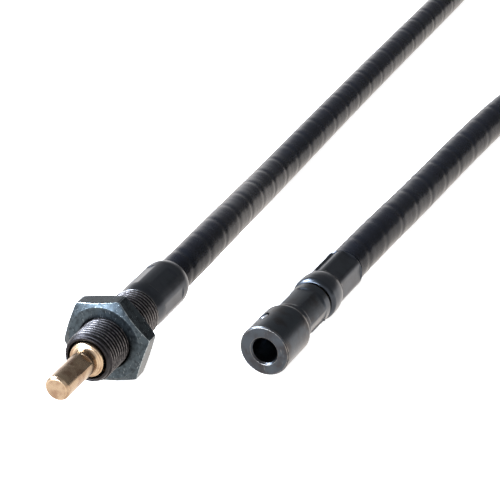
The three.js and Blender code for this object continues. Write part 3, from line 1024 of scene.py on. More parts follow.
def casing_winder() -> GeometryTree:
    """Builds the tree that turns a line of ring centres into a casing with a bore.

    Each point of the line carries its ring's radius and station, how deep the strip under the
    skin shows there, and a mark on those that the bore leaves out. The strip winds as a
    right-hand helix, so its bands are waves of the station and the turn around the axis.

    Returns:
        The tree.
    """
    winder = GeometryTree(
        "wind_casing",
        {
            "Sides": "NodeSocketInt",
            "Bore Radius": "NodeSocketFloat",
            "Lead": "NodeSocketFloat",
            "Material": "NodeSocketMaterial",
        },
    )
    given, add = winder.given, winder.add
    carried = {
        name: add("GeometryNodeInputNamedAttribute", {"Name": name}, data_type="FLOAT")
        for name in ("station", "ring", "strip", "turn")
    }
    left_out = add(
        "GeometryNodeInputNamedAttribute", {"Name": "only_outside"}, data_type="BOOLEAN"
    )
    circle = add("GeometryNodeCurvePrimitiveCircle", {"Resolution": given["Sides"], "Radius": 1.0})
    section = add(
        "GeometryNodeStoreNamedAttribute",
        {"Geometry": circle, "Name": "turn", "Value": add("GeometryNodeSplineParameter", {})},
        data_type="FLOAT",
        domain="POINT",
    )
    line = add("GeometryNodeMeshToCurve", {"Mesh": given["Geometry"]})
    upright = add("GeometryNodeSetCurveNormal", {"Curve": line}, mode="Z_UP")
    outside = add(
        "GeometryNodeCurveToMesh",
        {"Curve": upright, "Profile Curve": section, "Scale": carried["ring"]},
    )
    leads = add("ShaderNodeMath", {0: carried["station"], 1: given["Lead"]}, operation="DIVIDE")
    wound = add("ShaderNodeMath", {0: leads, 1: carried["turn"]}, operation="ADD")
    height = 0.0
    for bands, share in STRIP_WAVES:
        phase = add("ShaderNodeMath", {0: wound, 1: TURN * bands}, operation="MULTIPLY")
        wave = add("ShaderNodeMath", {0: phase}, operation="COSINE")
        height = add("ShaderNodeMath", {0: wave, 1: share, 2: height}, operation="MULTIPLY_ADD")
    below = add("ShaderNodeMath", {0: height, 1: 1.0}, operation="SUBTRACT")
    sunk = add("ShaderNodeMath", {0: below, 1: carried["strip"]}, operation="MULTIPLY")
    normal = add("GeometryNodeInputNormal", {})
    shift = add("ShaderNodeVectorMath", {0: normal, "Scale": sunk}, operation="SCALE")
    banded = add("GeometryNodeSetPosition", {"Geometry": outside, "Offset": shift})
    thinned = add(
        "GeometryNodeDeleteGeometry",
        {"Geometry": upright, "Selection": left_out},
        domain="POINT",
    )
    bore = add(
        "GeometryNodeCurveToMesh",
        {"Curve": thinned, "Profile Curve": section, "Scale": given["Bore Radius"]},
    )
    both = add("GeometryNodeJoinGeometry", {0: add("GeometryNodeFlipFaces", {"Mesh": bore})})
    winder.tree.links.new(banded.outputs[0], both.inputs[0])
    winder.close(add("GeometryNodeMergeByDistance", {"Geometry": both, "Distance": WELD}))
    return winder


# ---- What both ends share ----------------------------------------------------------------------


@dataclass(frozen=True)
class Crimp:
    """Flats that a die pressed into a round tube between two stations, in millimetres."""

    start: float
    end: float
    across_flats: float
    normal_deg: float
    sides: int = 6
    edge: float = 0.12
    ramp: float = 0.25
    bulge: float = 0.0

    def press(self, degrees: float, along: float, radius: float) -> float:
        """Gives the tube's radius under the die.

        Args:
            degrees: Angle round the axis.
            along: Station on the axis.
            radius: The radius before crimping.

        Returns:
            The radius after it.
        """
        if not self.start < along < self.end:
            return radius
        step = 360.0 / self.sides
        off = (degrees - self.normal_deg + step / 2.0) % step - step / 2.0
        flat = self.across_flats / 2.0 / math.cos(math.radians(off))
        pressed = round_minimum(radius + self.bulge, flat, self.edge)
        share = plateau(along, self.start, self.end, self.ramp)
        return radius + (pressed - radius) * share


@dataclass(frozen=True)
class Ridge:
    """A low ridge along a tube, where metal squeezed out between two dies, in millimetres."""

    start: float
    end: float
    centre_deg: float
    width_deg: float
    height: float
    ramp: float = 1.2

    def rise(self, degrees: float, along: float) -> float:
        """Gives how far the ridge stands up at a place.

        Args:
            degrees: Angle round the axis.
            along: Station on the axis.

        Returns:
            The height in millimetres.
        """
        across = angle_from(degrees, self.centre_deg) / (self.width_deg / 2.0)
        if abs(across) >= 1.0:
            return 0.0
        ends = plateau(along, self.start, self.end, self.ramp)
        return self.height * ends * (1.0 - across * across)


@dataclass(frozen=True)
class Fineness:
    """How finely a turned piece is drawn."""

    step: float  # the largest distance between rows, in millimetres
    sides: int  # points round each ring
    sharp_deg: float  # edges that turn by more than this stay sharp


# ---- The panel end -----------------------------------------------------------------------------

# Where the nut's sections lie in each half of a side, in degrees from its corner.
NEAR_CORNER = (0.0, 0.3, 0.7, 1.2, 1.9, 3.0, 5.0, 8.0, 12.0, 17.0, 23.0, 30.0)


@dataclass
class PanelEnd:
    """The brass spindle, its threaded bushing, the nut on it and the ferrule behind them.

    Stations are measured from the spindle's tip, in millimetres.
    """

    axis: Axis
    cutter: GeometryTree
    spindle_radius: float = 3.175
    tip_chamfer: float = 0.6
    pocket_start: float = 6.6
    pocket_end: float = 12.3
    pocket_radius: float = 2.665
    pocket_deg: float = 45.0
    pocket_reach_deg: float = 60.0
    collar_front: float = 14.8
    collar_back: float = 17.3
    collar_radius: float = 4.6
    collar_cove: float = 0.5
    collar_cove_rise: float = 0.55
    collar_crown: float = 0.25
    collar_crown_length: float = 0.7
    groove_front: float = 36.3
    groove_back: float = 37.7
    groove_radius: float = 2.65
    shoulder: float = 38.0
    stub_radius: float = 2.3
    stub_back: float = 42.6
    spindle_mesh: Fineness = Fineness(step=0.5, sides=192, sharp_deg=38.0)
    bushing_front: float = 15.2
    thread_lead: float = 1.3
    lip_radius: float = 5.7
    bushing_back: float = 41.6
    thread_end: float = 0.5
    thread_radius: float = 6.35
    thread_pitch: float = 25.4 / 24.0
    thread_depth: float = 0.62
    thread_flat: float = 0.3
    rows_per_pitch: float = 14.0
    mouth_radius: float = 5.05
    mouth_chamfer: float = 0.15
    mouth_floor: float = 18.8
    bearing_bore: float = 4.5
    bearing_back: float = 39.5
    tail_radius: float = 5.2
    tail_bore: float = 3.9
    tail_back: float = 50.2
    bushing_mesh: Fineness = Fineness(step=0.6, sides=112, sharp_deg=75.0)
    nut_front: float = 24.1
    nut_thickness: float = 5.25
    nut_chamfer_radius: float = 9.5
    nut_chamfer: float = 1.25
    nut_back_chamfer_radius: float = 9.9
    nut_back_chamfer: float = 0.6
    nut_flats: float = 20.6
    nut_corner_cut: float = 0.1
    nut_corner_round: float = 0.3
    nut_worn_corner_deg: float = 1.4
    nut_bevel: float = 0.12
    nut_bore: float = 6.42
    nut_countersink: float = 6.95
    nut_sharp_deg: float = 40.0
    ferrule_front: float = 41.9
    ferrule_back: float = 60.6
    ferrule_radius: float = 6.28
    ferrule_bore: float = 5.5
    ferrule_mouth_radius: float = 5.95
    ferrule_mouth_taper: float = 3.0
    ferrule_end_taper: float = 2.0
    ferrule_end_radius: float = 5.75
    ferrule_rim_radius: float = 5.15
    casing_stop: float = 50.5
    grip_bore: float = 4.45
    die_depth: float = 5.8
    ferrule_mesh: Fineness = Fineness(step=0.35, sides=216, sharp_deg=40.0)
    ferrule_crimp: Crimp = Crimp(
        start=45.6, end=56.0, across_flats=12.12, normal_deg=47.0, edge=0.06, ramp=0.16
    )

    def build(self) -> list[bpy.types.Object]:
        """Makes and dresses every piece of the panel end."""
        return [self.spindle(), self.bushing(), self.nut(), self.ferrule()]

    def spindle(self) -> bpy.types.Object:
        """Turns the spindle, with its milled pocket and its collar.

        Returns:
            The piece.
        """
        bar, collar, front = self.spindle_radius, self.collar_radius, self.collar_front
        corners = [
            Corner(0.0, 0.0),
            Corner(bar - self.tip_chamfer, 0.0, 0.2),
            Corner(bar, self.tip_chamfer, 0.25),
            Corner(bar, front - self.collar_cove, 0.3),
            Corner(bar + self.collar_cove_rise, front - 0.1, 0.3),
            Corner(collar - self.collar_crown, front, 0.35),
            Corner(collar, front + self.collar_crown_length, 0.3),
            Corner(collar, self.collar_back, 0.1),
            Corner(bar, self.collar_back),
            Corner(bar, self.groove_front),
            Corner(self.groove_radius, self.groove_front),
            Corner(self.groove_radius, self.groove_back),
            Corner(bar, self.groove_back),
            Corner(bar, self.shoulder),
            Corner(self.stub_radius, self.shoulder),
            Corner(self.stub_radius, self.stub_back),
            Corner(0.0, self.stub_back),
        ]
        mesh = self.spindle_mesh
        rows = outline(corners, mesh.step, False, (self.pocket_start, self.pocket_end))

        def pocket(degrees: float, along: float, radius: float) -> float:
            """Mills the flat for a set screw."""
            off = abs(angle_from(degrees, self.pocket_deg))
            if off > self.pocket_reach_deg or not self.pocket_start <= along <= self.pocket_end:
                return radius
            return min(radius, self.pocket_radius / math.cos(math.radians(off)))

        piece = turned("spindle", rows, False, mesh.sides, pocket)
        finished(piece, self.axis, BRASS.build(self.axis), mesh.sharp_deg)
        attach(piece, Body.SPINDLE.value)
        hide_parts("panel_spindle")
        return piece

    def bushing_rows(self) -> list[Row]:
        """Draws the bushing's outline, with close rows where the thread is cut.

        Returns:
            The rows, in order.
        """
        crest, front, back = self.thread_radius, self.bushing_front, self.bushing_back
        root = crest - self.thread_depth
        corners = [
            Corner(self.mouth_radius + self.mouth_chamfer, front, 0.1),
            Corner(self.lip_radius, front, 0.12),
            Corner(crest, front + self.thread_lead),
            Corner(crest, back - self.thread_end),
            Corner(root - 0.05, back),
            Corner(self.tail_radius, back),
            Corner(self.tail_radius, self.tail_back),
            Corner(self.tail_bore, self.tail_back),
            Corner(self.tail_bore, self.bearing_back),
            Corner(self.bearing_bore, self.bearing_back),
            Corner(self.bearing_bore, self.mouth_floor),
            Corner(self.mouth_radius, self.mouth_floor),
            Corner(self.mouth_radius, front + 0.2, 0.1),
        ]
        coarse = outline(corners, self.bushing_mesh.step, True)
        step = self.thread_pitch / self.rows_per_pitch
        rows: list[Row] = []
        for first, second in zip(coarse, coarse[1:] + coarse[:1]):
            rows.append(first)
            threaded = min(first[0], second[0]) > root - 0.1
            parts = math.ceil(abs(second[1] - first[1]) / step) if threaded else 1
            a, b = Vector(first[:2]), Vector(second[:2])
            spots = [a.lerp(b, k / parts) for k in range(1, parts)]
            rows += [(spot.x, spot.y, 0.0) for spot in spots]
        return rows

    def bushing(self) -> bpy.types.Object:
        """Turns the bushing and cuts its thread.

        Returns:
            The piece.
        """
        mesh = self.bushing_mesh
        piece = turned("bushing", self.bushing_rows(), True, mesh.sides)
        # The thread's material is painted darker than the bar's steel, as painted shade.
        material = SHADED_THREADED_BAR.build(self.axis)
        self.cutter.apply(
            piece,
            {
                "Crest Radius": self.thread_radius * MM,
                "Depth": self.thread_depth * MM,
                "Pitch": self.thread_pitch * MM,
                "Crest Flat": self.thread_flat,
                "Material": material,
            },
        )
        finished(piece, self.axis, material, mesh.sharp_deg)
        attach(piece, Body.HOUSING.value)
        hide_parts("panel_bushing")
        return piece

    def nut_section(self, degrees: float) -> list[Row]:
        """Draws the nut's section at an angle: its bore, both faces' chamfers and its side.

        Args:
            degrees: Angle round the axis, where 0, 60 and so on are the corners.

        Returns:
            The closed section's points and their wear.
        """
        low, high = self.nut_front, self.nut_front + self.nut_thickness
        flat = self.nut_flats / 2.0
        corner = flat / math.cos(math.radians(30.0))
        face, back_face = self.nut_chamfer_radius, self.nut_back_chamfer_radius
        slope = self.nut_chamfer / (corner - face)
        back_slope = self.nut_back_chamfer / (corner - back_face)
        sink, bore, bevel = self.nut_countersink, self.nut_bore, self.nut_bevel
        off = (degrees % 60.0) - 30.0
        side = flat / math.cos(math.radians(off))
        reach = round_minimum(side, corner - self.nut_corner_cut, self.nut_corner_round)
        edge = low + (reach - face) * slope
        back_edge = high - (reach - back_face) * back_slope
        worn = max(0.0, 1.0 - (30.0 - abs(off)) / self.nut_worn_corner_deg)
        return [
            (sink - 0.07, low + 0.03, 0.5),
            (sink, low, 0.4),
            (sink + 0.7, low, 0.0),
            (face - 0.5, low, 0.0),
            (face - 0.06, low, 0.3),
            (face + 0.04, low + 0.02, 0.6),
            (face + 0.12, low + 0.12 * slope, 0.3),
            (reach - bevel - 0.25, edge - (bevel + 0.25) * slope, 0.2),
            (reach - bevel, edge - bevel * slope, 0.5),
            (reach - bevel * 0.3, edge + bevel * 0.15, 1.0),
            (reach, edge + bevel * 0.6, 1.0),
            (reach, edge + bevel + 0.1, worn),
            (reach, edge + 0.6, worn),
            (reach, back_edge - 0.6, worn),
            (reach, back_edge - bevel, worn),
            (reach, back_edge - bevel * 0.6, 0.9),
            (reach - bevel * 0.3, back_edge - bevel * 0.15, 0.9),
            (reach - bevel, back_edge + bevel * back_slope, 0.5),
            (back_face + 0.05, high - 0.05 * back_slope, 0.2),
            (back_face - 0.1, high, 0.2),
            (sink + 0.7, high, 0.0),
            (sink, high, 0.4),
            (sink - 0.07, high - 0.03, 0.5),
            (bore + 0.05, high - 0.4, 0.3),
            (bore, high - 0.5, 0.0),
            (bore, low + 0.5, 0.0),
            (bore + 0.05, low + 0.4, 0.3),
        ]

    def nut(self) -> bpy.types.Object:
        """Shapes the thin hex nut from its sections, which are close at the corners.

        Returns:
            The piece.
        """
        side = [*NEAR_CORNER, *(60.0 - off for off in reversed(NEAR_CORNER[1:-1]))]
        vertices, wear, rings = [], [], []
        for degrees in (60.0 * k + off for k in range(6) for off in side):
            section = self.nut_section(degrees)
            rings.append(range(len(vertices), len(vertices) + len(section)))
            vertices += [around(radius, along, degrees) for radius, along, _ in section]
            wear += [worn for _, _, worn in section]
        faces = []
        for here, ahead in zip(rings, rings[1:] + rings[:1]):
            for i in range(len(here)):
                up = (i + 1) % len(here)
                faces.append((here[i], here[up], ahead[up], ahead[i]))
        piece = new_object("nut", vertices, faces)
        store_wear(piece, wear)
        finished(piece, self.axis, BLUED_ZINC.build(self.axis), self.nut_sharp_deg)
        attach(piece, Body.NUT.value)
        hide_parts("panel_nut")
        return piece

    def ferrule(self) -> bpy.types.Object:
        """Draws the crimped ferrule that holds the casing.

        Returns:
            The piece.
        """
        tube, front, back = self.ferrule_radius, self.ferrule_front, self.ferrule_back
        crimp, mesh = self.ferrule_crimp, self.ferrule_mesh
        corners = [
            Corner(self.ferrule_mouth_radius, front, 0.2),
            Corner(tube, front + self.ferrule_mouth_taper, 1.2),
            Corner(tube, back - self.ferrule_end_taper, 1.4),
            Corner(self.ferrule_end_radius, back - 0.3, 0.5),
            Corner(self.ferrule_rim_radius, back, 0.12),
            Corner(self.grip_bore, back - 0.1),
            Corner(self.grip_bore, self.casing_stop),
            Corner(self.ferrule_bore, self.casing_stop),
            Corner(self.ferrule_bore, front),
        ]
        rows = outline(corners, mesh.step, True, (crimp.start, crimp.end))

        def press(degrees: float, along: float, radius: float) -> float:
            """Presses the die's flats into the outside."""
            return crimp.press(degrees, along, radius) if radius > self.die_depth else radius

        piece = turned("panel_ferrule_tube", rows, True, mesh.sides, press)
        finished(piece, self.axis, BLACKENED_TUBE.build(self.axis), mesh.sharp_deg)
        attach(piece, Body.HOUSING.value)
        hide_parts("panel_ferrule")
        return piece


# ---- The coupler end ---------------------------------------------------------------------------


@dataclass
class CouplerEnd:
    """The bored hub with its set screw, and the crimped ferrule with its bead.

    Stations are measured from the hub's open face, in millimetres.
    """

    axis: Axis
    cutter: GeometryTree
    hub_radius: float = 6.35
    bore_radius: float = 3.175
    bore_depth: float = 11.4
    bore_chamfer: float = 0.42
    shoulder: float = 12.35
    neck_start: float = 13.4
    neck_fillet: float = 0.5
    neck_radius: float = 5.3
    neck_back: float = 26.9
    socket_radius: float = 2.45
    socket_depth: float = 14.0
    screw_along: float = 6.5
    screw_deg: float = 116.0
    screw_radius: float = 1.8
    screw_hole: float = 2.1
    screw_low: float = 3.4
    screw_high: float = 6.0
    screw_chamfer: float = 0.25
    screw_point: float = 0.35
    screw_pitch: float = 25.4 / 32.0
    screw_thread_depth: float = 0.28
    screw_thread_flat: float = 0.12
    screw_mesh: Fineness = Fineness(step=0.07, sides=60, sharp_deg=60.0)
    key_flat: float = 0.8
    key_depth: float = 1.3
    key_chamfer: float = 0.12
    hole_low: float = 2.6
    hole_high: float = 8.0
    hole_mesh: Fineness = Fineness(step=6.0, sides=48, sharp_deg=38.0)
    hub_mesh: Fineness = Fineness(step=0.3, sides=216, sharp_deg=38.0)
    bead_front: float = 27.8
    bead_crown: float = 31.2
    bead_back: float = 32.8
    bead_radius: float = 5.85
    bead_mouth_radius: float = 4.75
    bead_seat_radius: float = 4.5
    bead_seat_back: float = 36.0
    shoulder_radius: float = 1.7
    shoulder_deg: int = 56
    shoulder_step_deg: int = 8
    waist_radius: float = 5.28
    sleeve_front: float = 34.3
    sleeve_back: float = 46.8
    sleeve_radius: float = 5.36
    sleeve_end_radius: float = 5.15
    sleeve_rim_radius: float = 5.1
    die_depth: float = 5.2
    casing_stop: float = 36.3
    liner_bore: float = 2.65
    grip_bore: float = 4.45
    ferrule_mesh: Fineness = Fineness(step=0.3, sides=216, sharp_deg=40.0)
    neck_crimp: Crimp = Crimp(
        start=15.0, end=24.4, across_flats=10.1, normal_deg=25.0, edge=0.9, ramp=0.6, bulge=0.1
    )
    sleeve_crimp: Crimp = Crimp(
        start=34.4, end=46.4, across_flats=9.8, normal_deg=55.0, edge=0.16, ramp=0.5
    )
    neck_flash: Ridge = Ridge(
        start=16.6, end=25.4, centre_deg=-40.0, width_deg=7.0, height=0.28
    )
    sleeve_flash: Ridge = Ridge(
        start=34.8, end=46.5, centre_deg=112.0, width_deg=9.0, height=0.5
    )

    def build(self) -> list[bpy.types.Object]:
        """Makes and dresses every piece of the coupler end."""
        return [self.hub(), self.set_screw(), self.ferrule()]

    def radial(self) -> Matrix:
        """Gives the matrix that stands a Y-turned piece on the set screw's axis."""
        outwards = Matrix.Rotation(-math.pi / 2.0, 4, "Z")
        round_axis = Matrix.Rotation(-math.radians(self.screw_deg), 4, "Y")
        return Matrix.Translation((0.0, self.screw_along * MM, 0.0)) @ round_axis @ outwards

    def hub(self) -> bpy.types.Object:
        """Turns the hub and its neck, crimps the neck and drills the set screw's hole.

        Returns:
            The piece.
        """
        bore, hub, neck = self.bore_radius, self.hub_radius, self.neck_radius
        crimp, mesh = self.neck_crimp, self.hub_mesh
        corners = [
            Corner(0.0, self.bore_depth + 0.9),
            Corner(bore - 0.25, self.bore_depth),
            Corner(bore, self.bore_depth - 0.3),
            Corner(bore, self.bore_chamfer, 0.08),
            Corner(bore + self.bore_chamfer, 0.0, 0.08),
            Corner(hub - 0.3, 0.0, 0.12),
            Corner(hub, 0.3, 0.15),
            Corner(hub, self.shoulder, 0.8),
            Corner(neck + 0.15, self.neck_start, self.neck_fillet),
            Corner(neck, self.neck_start + self.neck_fillet, 0.2),
            Corner(neck, self.neck_back - 0.3, 0.15),
            Corner(neck - 0.3, self.neck_back),
            Corner(self.socket_radius, self.neck_back),
            Corner(self.socket_radius, self.socket_depth),
            Corner(0.0, self.socket_depth),
        ]
        rows = outline(corners, mesh.step, False, (crimp.start, crimp.end))

        def press(degrees: float, along: float, radius: float) -> float:
            """Presses the die's flats into the neck and raises the flash beside them."""
            if radius < neck - 0.05 or along < self.neck_start:
                return radius
            raised = self.neck_flash.rise(degrees, along)
            return crimp.press(degrees, along, radius) + raised

        piece = turned("hub", rows, False, mesh.sides, press)
        hole_corners = [
            Corner(0.0, self.hole_low),
            Corner(self.screw_hole, self.hole_low),
            Corner(self.screw_hole, self.hole_high),
            Corner(0.0, self.hole_high),
        ]
        hole_rows = outline(hole_corners, self.hole_mesh.step, False)
        hole = turned("hole", hole_rows, False, self.hole_mesh.sides)
        hole.data.transform(self.radial())
        drilled(piece, hole)
        finished(piece, self.axis, BLACKENED_BAR.build(self.axis), mesh.sharp_deg)
        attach(piece, Body.COUPLER.value)
        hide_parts("coupler_hub")
        return piece

    def set_screw(self) -> bpy.types.Object:
        """Makes the set screw, with its thread and its hexagonal socket.

        Returns:
            The piece.
        """
        radius, low, high = self.screw_radius, self.screw_low, self.screw_high
        key_flat, key_floor, mesh = self.key_flat, high - self.key_depth, self.screw_mesh
        corners = [
            Corner(0.0, low),
            Corner(radius - self.screw_point, low, 0.05),
            Corner(radius, low + self.screw_point, 0.05),
            Corner(radius, high - self.screw_chamfer, 0.05),
            Corner(radius - self.screw_chamfer, high, 0.05),
            Corner(key_flat + self.key_chamfer, high, 0.03),
            Corner(key_flat, high - self.key_chamfer, 0.03),
            Corner(key_flat, key_floor),
            Corner(0.0, key_floor - 0.3),
        ]

        def key(degrees: float, along: float, spot: float) -> float:
            """Gives the socket its six flats."""
            if spot > key_flat + 0.05 or along < key_floor - 0.01:
                return spot
            off = (degrees % 60.0) - 30.0
            return spot / math.cos(math.radians(off))

        piece = turned("set_screw", outline(corners, mesh.step, False), False, mesh.sides, key)
        material = BRIGHT_STEEL.build(self.axis)
        self.cutter.apply(
            piece,
            {
                "Crest Radius": radius * MM,
                "Depth": self.screw_thread_depth * MM,
                "Pitch": self.screw_pitch * MM,
                "Crest Flat": self.screw_thread_flat,
                "Material": material,
            },
        )
        piece.data.transform(self.radial())
        finished(piece, self.axis, material, mesh.sharp_deg)
        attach(piece, Body.SET_SCREW.value)
        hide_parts("coupler_set_screw")
        return piece

    def ferrule(self) -> bpy.types.Object:
        """Draws the ferrule: a rounded bead in front, and a sleeve crimped to a hexagon.

        Returns:
            The piece.
        """
        front, bead = self.bead_front, self.bead_radius
        sleeve, back, sleeve_radius = self.sleeve_front, self.sleeve_back, self.sleeve_radius
        crimp, mesh = self.sleeve_crimp, self.ferrule_mesh
        turns = [math.radians(a) for a in range(self.shoulder_deg, 0, -self.shoulder_step_deg)]
        reach = front + self.shoulder_radius * math.sin(turns[0])
        shoulder = [
            Corner(
                bead - self.shoulder_radius * (1.0 - math.cos(turn)),
                reach - self.shoulder_radius * math.sin(turn),
            )
            for turn in turns
        ]
        corners = [
            Corner(self.bead_seat_radius, front + 0.25),
            Corner(self.bead_mouth_radius, front, 0.15),
            *shoulder,
            Corner(bead + 0.01, self.bead_crown, 1.0),
            Corner(bead - 0.15, self.bead_back, 0.9),
            Corner(self.waist_radius + 0.17, sleeve - 0.5, 0.5),
            Corner(self.waist_radius, sleeve, 0.1),
            Corner(sleeve_radius, sleeve + 0.2, 0.1),
            Corner(sleeve_radius, back - 0.4, 0.08),
            Corner(self.sleeve_end_radius, back - 0.25, 0.06),
            Corner(self.sleeve_rim_radius, back, 0.06),
            Corner(self.grip_bore, back - 0.05),
            Corner(self.grip_bore, self.casing_stop),
            Corner(self.liner_bore, self.casing_stop),
            Corner(self.liner_bore, self.bead_seat_back),
            Corner(self.bead_seat_radius, self.bead_seat_back),
        ]
        rows = outline(corners, mesh.step, True, (crimp.start, crimp.end))

        def press(degrees: float, along: float, radius: float) -> float:
            """Presses the sleeve's flats and raises the flash on it."""
            if radius < self.die_depth or along < self.sleeve_front:
                return radius
            raised = self.sleeve_flash.rise(degrees, along)
            return crimp.press(degrees, along, radius) + raised

        piece = turned("coupler_ferrule_tube", rows, True, mesh.sides, press)
        finished(piece, self.axis, BLACKENED_TUBE.build(self.axis), mesh.sharp_deg)
        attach(piece, Body.HOUSING.value)
        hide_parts("coupler_ferrule")
        return piece


# ---- The casing --------------------------------------------------------------------------------


@dataclass
class Casing:
    """The sheathed casing: a free cord from the panel end's ferrule to the coupler's.

    The strip wound under its skin shows as soft bands. The route's points are measured from the
    coupler's face on the bench, and stations from the core's panel end, in millimetres.
    """

    panel_end: PanelEnd
    coupler_end: CouplerEnd
    winder: GeometryTree
    radius: float = 4.85
    gripped_radius: float = 4.15
    bore_radius: float = 3.7
    strip_lead: float = 11.3
    strip_depth: float = 0.06
    strip_swings: tuple[tuple[float, float], ...] = ((0.14, 0.31), (0.1, 0.083))
    ring_step: float = 0.5
    rings_per_bore_ring: int = 14
    sides: int = 36
    lying: float = 4.88
    bend_centre: tuple[float, float] = (-17.0, 360.9)
    bend_radius: float = 50.0
    bend_steps: int = 12
    bend_lead: float = 15.5
    core_start: float = 42.9
    casing_start: float = 50.8
    core_end: float = 14.3
    gripped_length: float = 10.0
    mouth_gap: float = 0.3
    swell: float = 0.3
    skin: float = 0.01
    straight: float = 10.7
    steps_per_point: int = 60

    def from_face(self, x: float, y: float, z: float) -> Vector:
        """Gives a route point in the part's frame, from one measured from the coupler's face."""
        tip = self.coupler_end.axis.tip
        return Vector((x + tip[0], y + tip[1], z))

    def points(self) -> list[Vector]:
        """Lists the route's points, from the core's panel end to its coupler end.

        Returns:
            The points in the part's frame, in millimetres.
        """
        low = self.lying
        panel_run = (
            (-43.6, 60, 9.6),
            (-46.9, 80, 8.0),
            (-50.4, 100, 6.2),
            (-53.2, 120, 5.05),
            (-54.9, 140, low),
            (-57.1, 170, low),
            (-59.1, 200, low),
            (-61.0, 230, low),
            (-62.8, 260, low),
            (-64.6, 290, low),
            (-66.4, 315, low),
        )
        coupler_run = (
            (31.6, 315, low),
            (26.6, 285, low),
            (19.0, 255, low),
            (11.0, 225, low),
            (4.6, 195, low),
            (0.6, 165, low),
            (-0.6, 135, low),
            (-0.8, 110, 4.92),
            (-0.5, 90, 5.4),
            (-0.1, 75, 6.1),
        )
        x, y = self.bend_centre
        radius, lead = self.bend_radius, self.bend_lead
        angles = [math.pi * (1.0 - i / self.bend_steps) for i in range(self.bend_steps + 1)]
        arc = [(x + radius * math.cos(a), y + radius * math.sin(a), low) for a in angles]
        left, right = x - radius, x + radius
        middle = [
            *panel_run,
            (left, y - 2 * lead, low),
            (left, y - lead, low),
            *arc,
            (right, y - lead, low),
            (right, y - 2 * lead, low),
            *coupler_run,
        ]
        panel, coupler = self.panel_end, self.coupler_end
        return [
            panel.axis.point(self.core_start),
            panel.axis.point(panel.casing_stop),
            panel.axis.point(panel.ferrule_back),
            panel.axis.point(panel.ferrule_back + self.straight),
            *(self.from_face(*p) for p in middle),
            coupler.axis.point(coupler.sleeve_back + self.straight),
            coupler.axis.point(coupler.sleeve_back),
            coupler.axis.point(coupler.sleeve_front),
            coupler.axis.point(self.core_end),
        ]

    def curve(self) -> tuple[list[Vector], list[float]]:
        """Draws the smooth curve through the route's points, a centripetal Catmull-Rom spline.

        Returns:
            Points along the curve, and how far along it each one lies.
        """
        given = self.points()
        ends = [2 * given[0] - given[1], *given, 2 * given[-1] - given[-2]]
        drawn = [given[0].copy()]
        for a, b, c, d in zip(ends, ends[1:], ends[2:], ends[3:]):
            t1 = math.sqrt((b - a).length)
            t2 = t1 + math.sqrt((c - b).length)
            t3 = t2 + math.sqrt((d - c).length)
            for k in range(1, self.steps_per_point + 1):
                t = t1 + (t2 - t1) * k / self.steps_per_point
                ab = a * ((t1 - t) / t1) + b * (t / t1)
                bc = b * ((t2 - t) / (t2 - t1)) + c * ((t - t1) / (t2 - t1))
                cd = c * ((t3 - t) / (t3 - t2)) + d * ((t - t2) / (t3 - t2))
                abc = ab * ((t2 - t) / t2) + bc * (t / t2)
                bcd = bc * ((t3 - t) / (t3 - t1)) + cd * ((t - t1) / (t3 - t1))
                drawn.append(abc * ((t2 - t) / (t2 - t1)) + bcd * ((t - t1) / (t2 - t1)))
        lengths = [0.0]
        for first, second in zip(drawn, drawn[1:]):
            lengths.append(lengths[-1] + (second - first).length)
        return drawn, lengths

    def rings(self, start: float, end: float) -> list[tuple[float, float, float, bool]]:
        """Lists the casing's rings between two stations of the route.

        Args:
            start: Where the casing leaves the panel ferrule.
            end: Where it enters the coupler's.

        Returns:
            Each ring's station and radius, how deep the strip shows there, and whether the bore
            leaves the ring out.
        """
        first = self.casing_start - self.core_start
        last = end + self.gripped_length
        grip, bore = self.gripped_radius, self.bore_radius
        full_start = start + self.mouth_gap + self.swell
        full_end = end - self.mouth_gap - self.swell
        found = [
            (first, bore, 0.0, False),
            (first + self.skin, grip, 0.0, False),
            (start + self.mouth_gap, grip, 0.0, False),
            (full_start - 0.1, self.radius - 0.1, 0.0, True),
        ]
        count = round((full_end - full_start) / self.ring_step)
        for i in range(count):
            station = full_start + (full_end - full_start) * i / count
            swing = sum(share * math.sin(rate * station) for share, rate in self.strip_swings)
            left_out = i % self.rings_per_bore_ring != 0
            found.append((station, self.radius, self.strip_depth * (1.0 + swing), left_out))
        found += [
            (full_end, self.radius, 0.0, True),
            (end - self.mouth_gap, grip, 0.0, False),
            (last - self.skin, grip, 0.0, False),
            (last, bore, 0.0, False),
        ]
        return found

    def build(self) -> list[bpy.types.Object]:
        """Returns:
            The casing, as a list of one.
        """
        drawn, lengths = self.curve()
        start = self.panel_end.ferrule_back - self.core_start
        end = lengths[-1] - (self.coupler_end.sleeve_back - self.core_end)
        rings = self.rings(start, end)
        centres, at = [], 0
        for station, _, _, _ in rings:
            while at < len(lengths) - 2 and lengths[at + 1] < station:
                at += 1
            share = (station - lengths[at]) / (lengths[at + 1] - lengths[at])
            centres.append(drawn[at].lerp(drawn[at + 1], share) * MM)
        mesh = bpy.data.meshes.new("casing")
        mesh.from_pydata(centres, [(i, i + 1) for i in range(len(centres) - 1)], [])
        stations, radii, depths, left_out = zip(*rings)
        for name, values in (("station", stations), ("ring", radii), ("strip", depths)):
            layer = mesh.attributes.new(name, "FLOAT", "POINT")
            layer.data.foreach_set("value", [value * MM for value in values])
        outside = mesh.attributes.new("only_outside", "BOOLEAN", "POINT")
        outside.data.foreach_set("value", left_out)
        piece = bpy.data.objects.new("casing", mesh)
        bpy.context.scene.collection.objects.link(piece)
        material = SheathPlastic().build()
        self.winder.apply(
            piece,
            {
                "Sides": self.sides,
                "Bore Radius": self.bore_radius * MM,
                "Lead": self.strip_lead * MM,
                "Material": material,
            },
        )
        piece.data.shade_smooth()
        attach(piece, Body.HOUSING.value)
        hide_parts("casing_panel_run", "casing_bend", "casing_coupler_run")
        LOG.info("casing %.1f mm free, %.1f mm in all", end - start, rings[-1][0] - rings[0][0])
        self.panel_end.axis.point(self.casing_start) * MM
        return [piece]


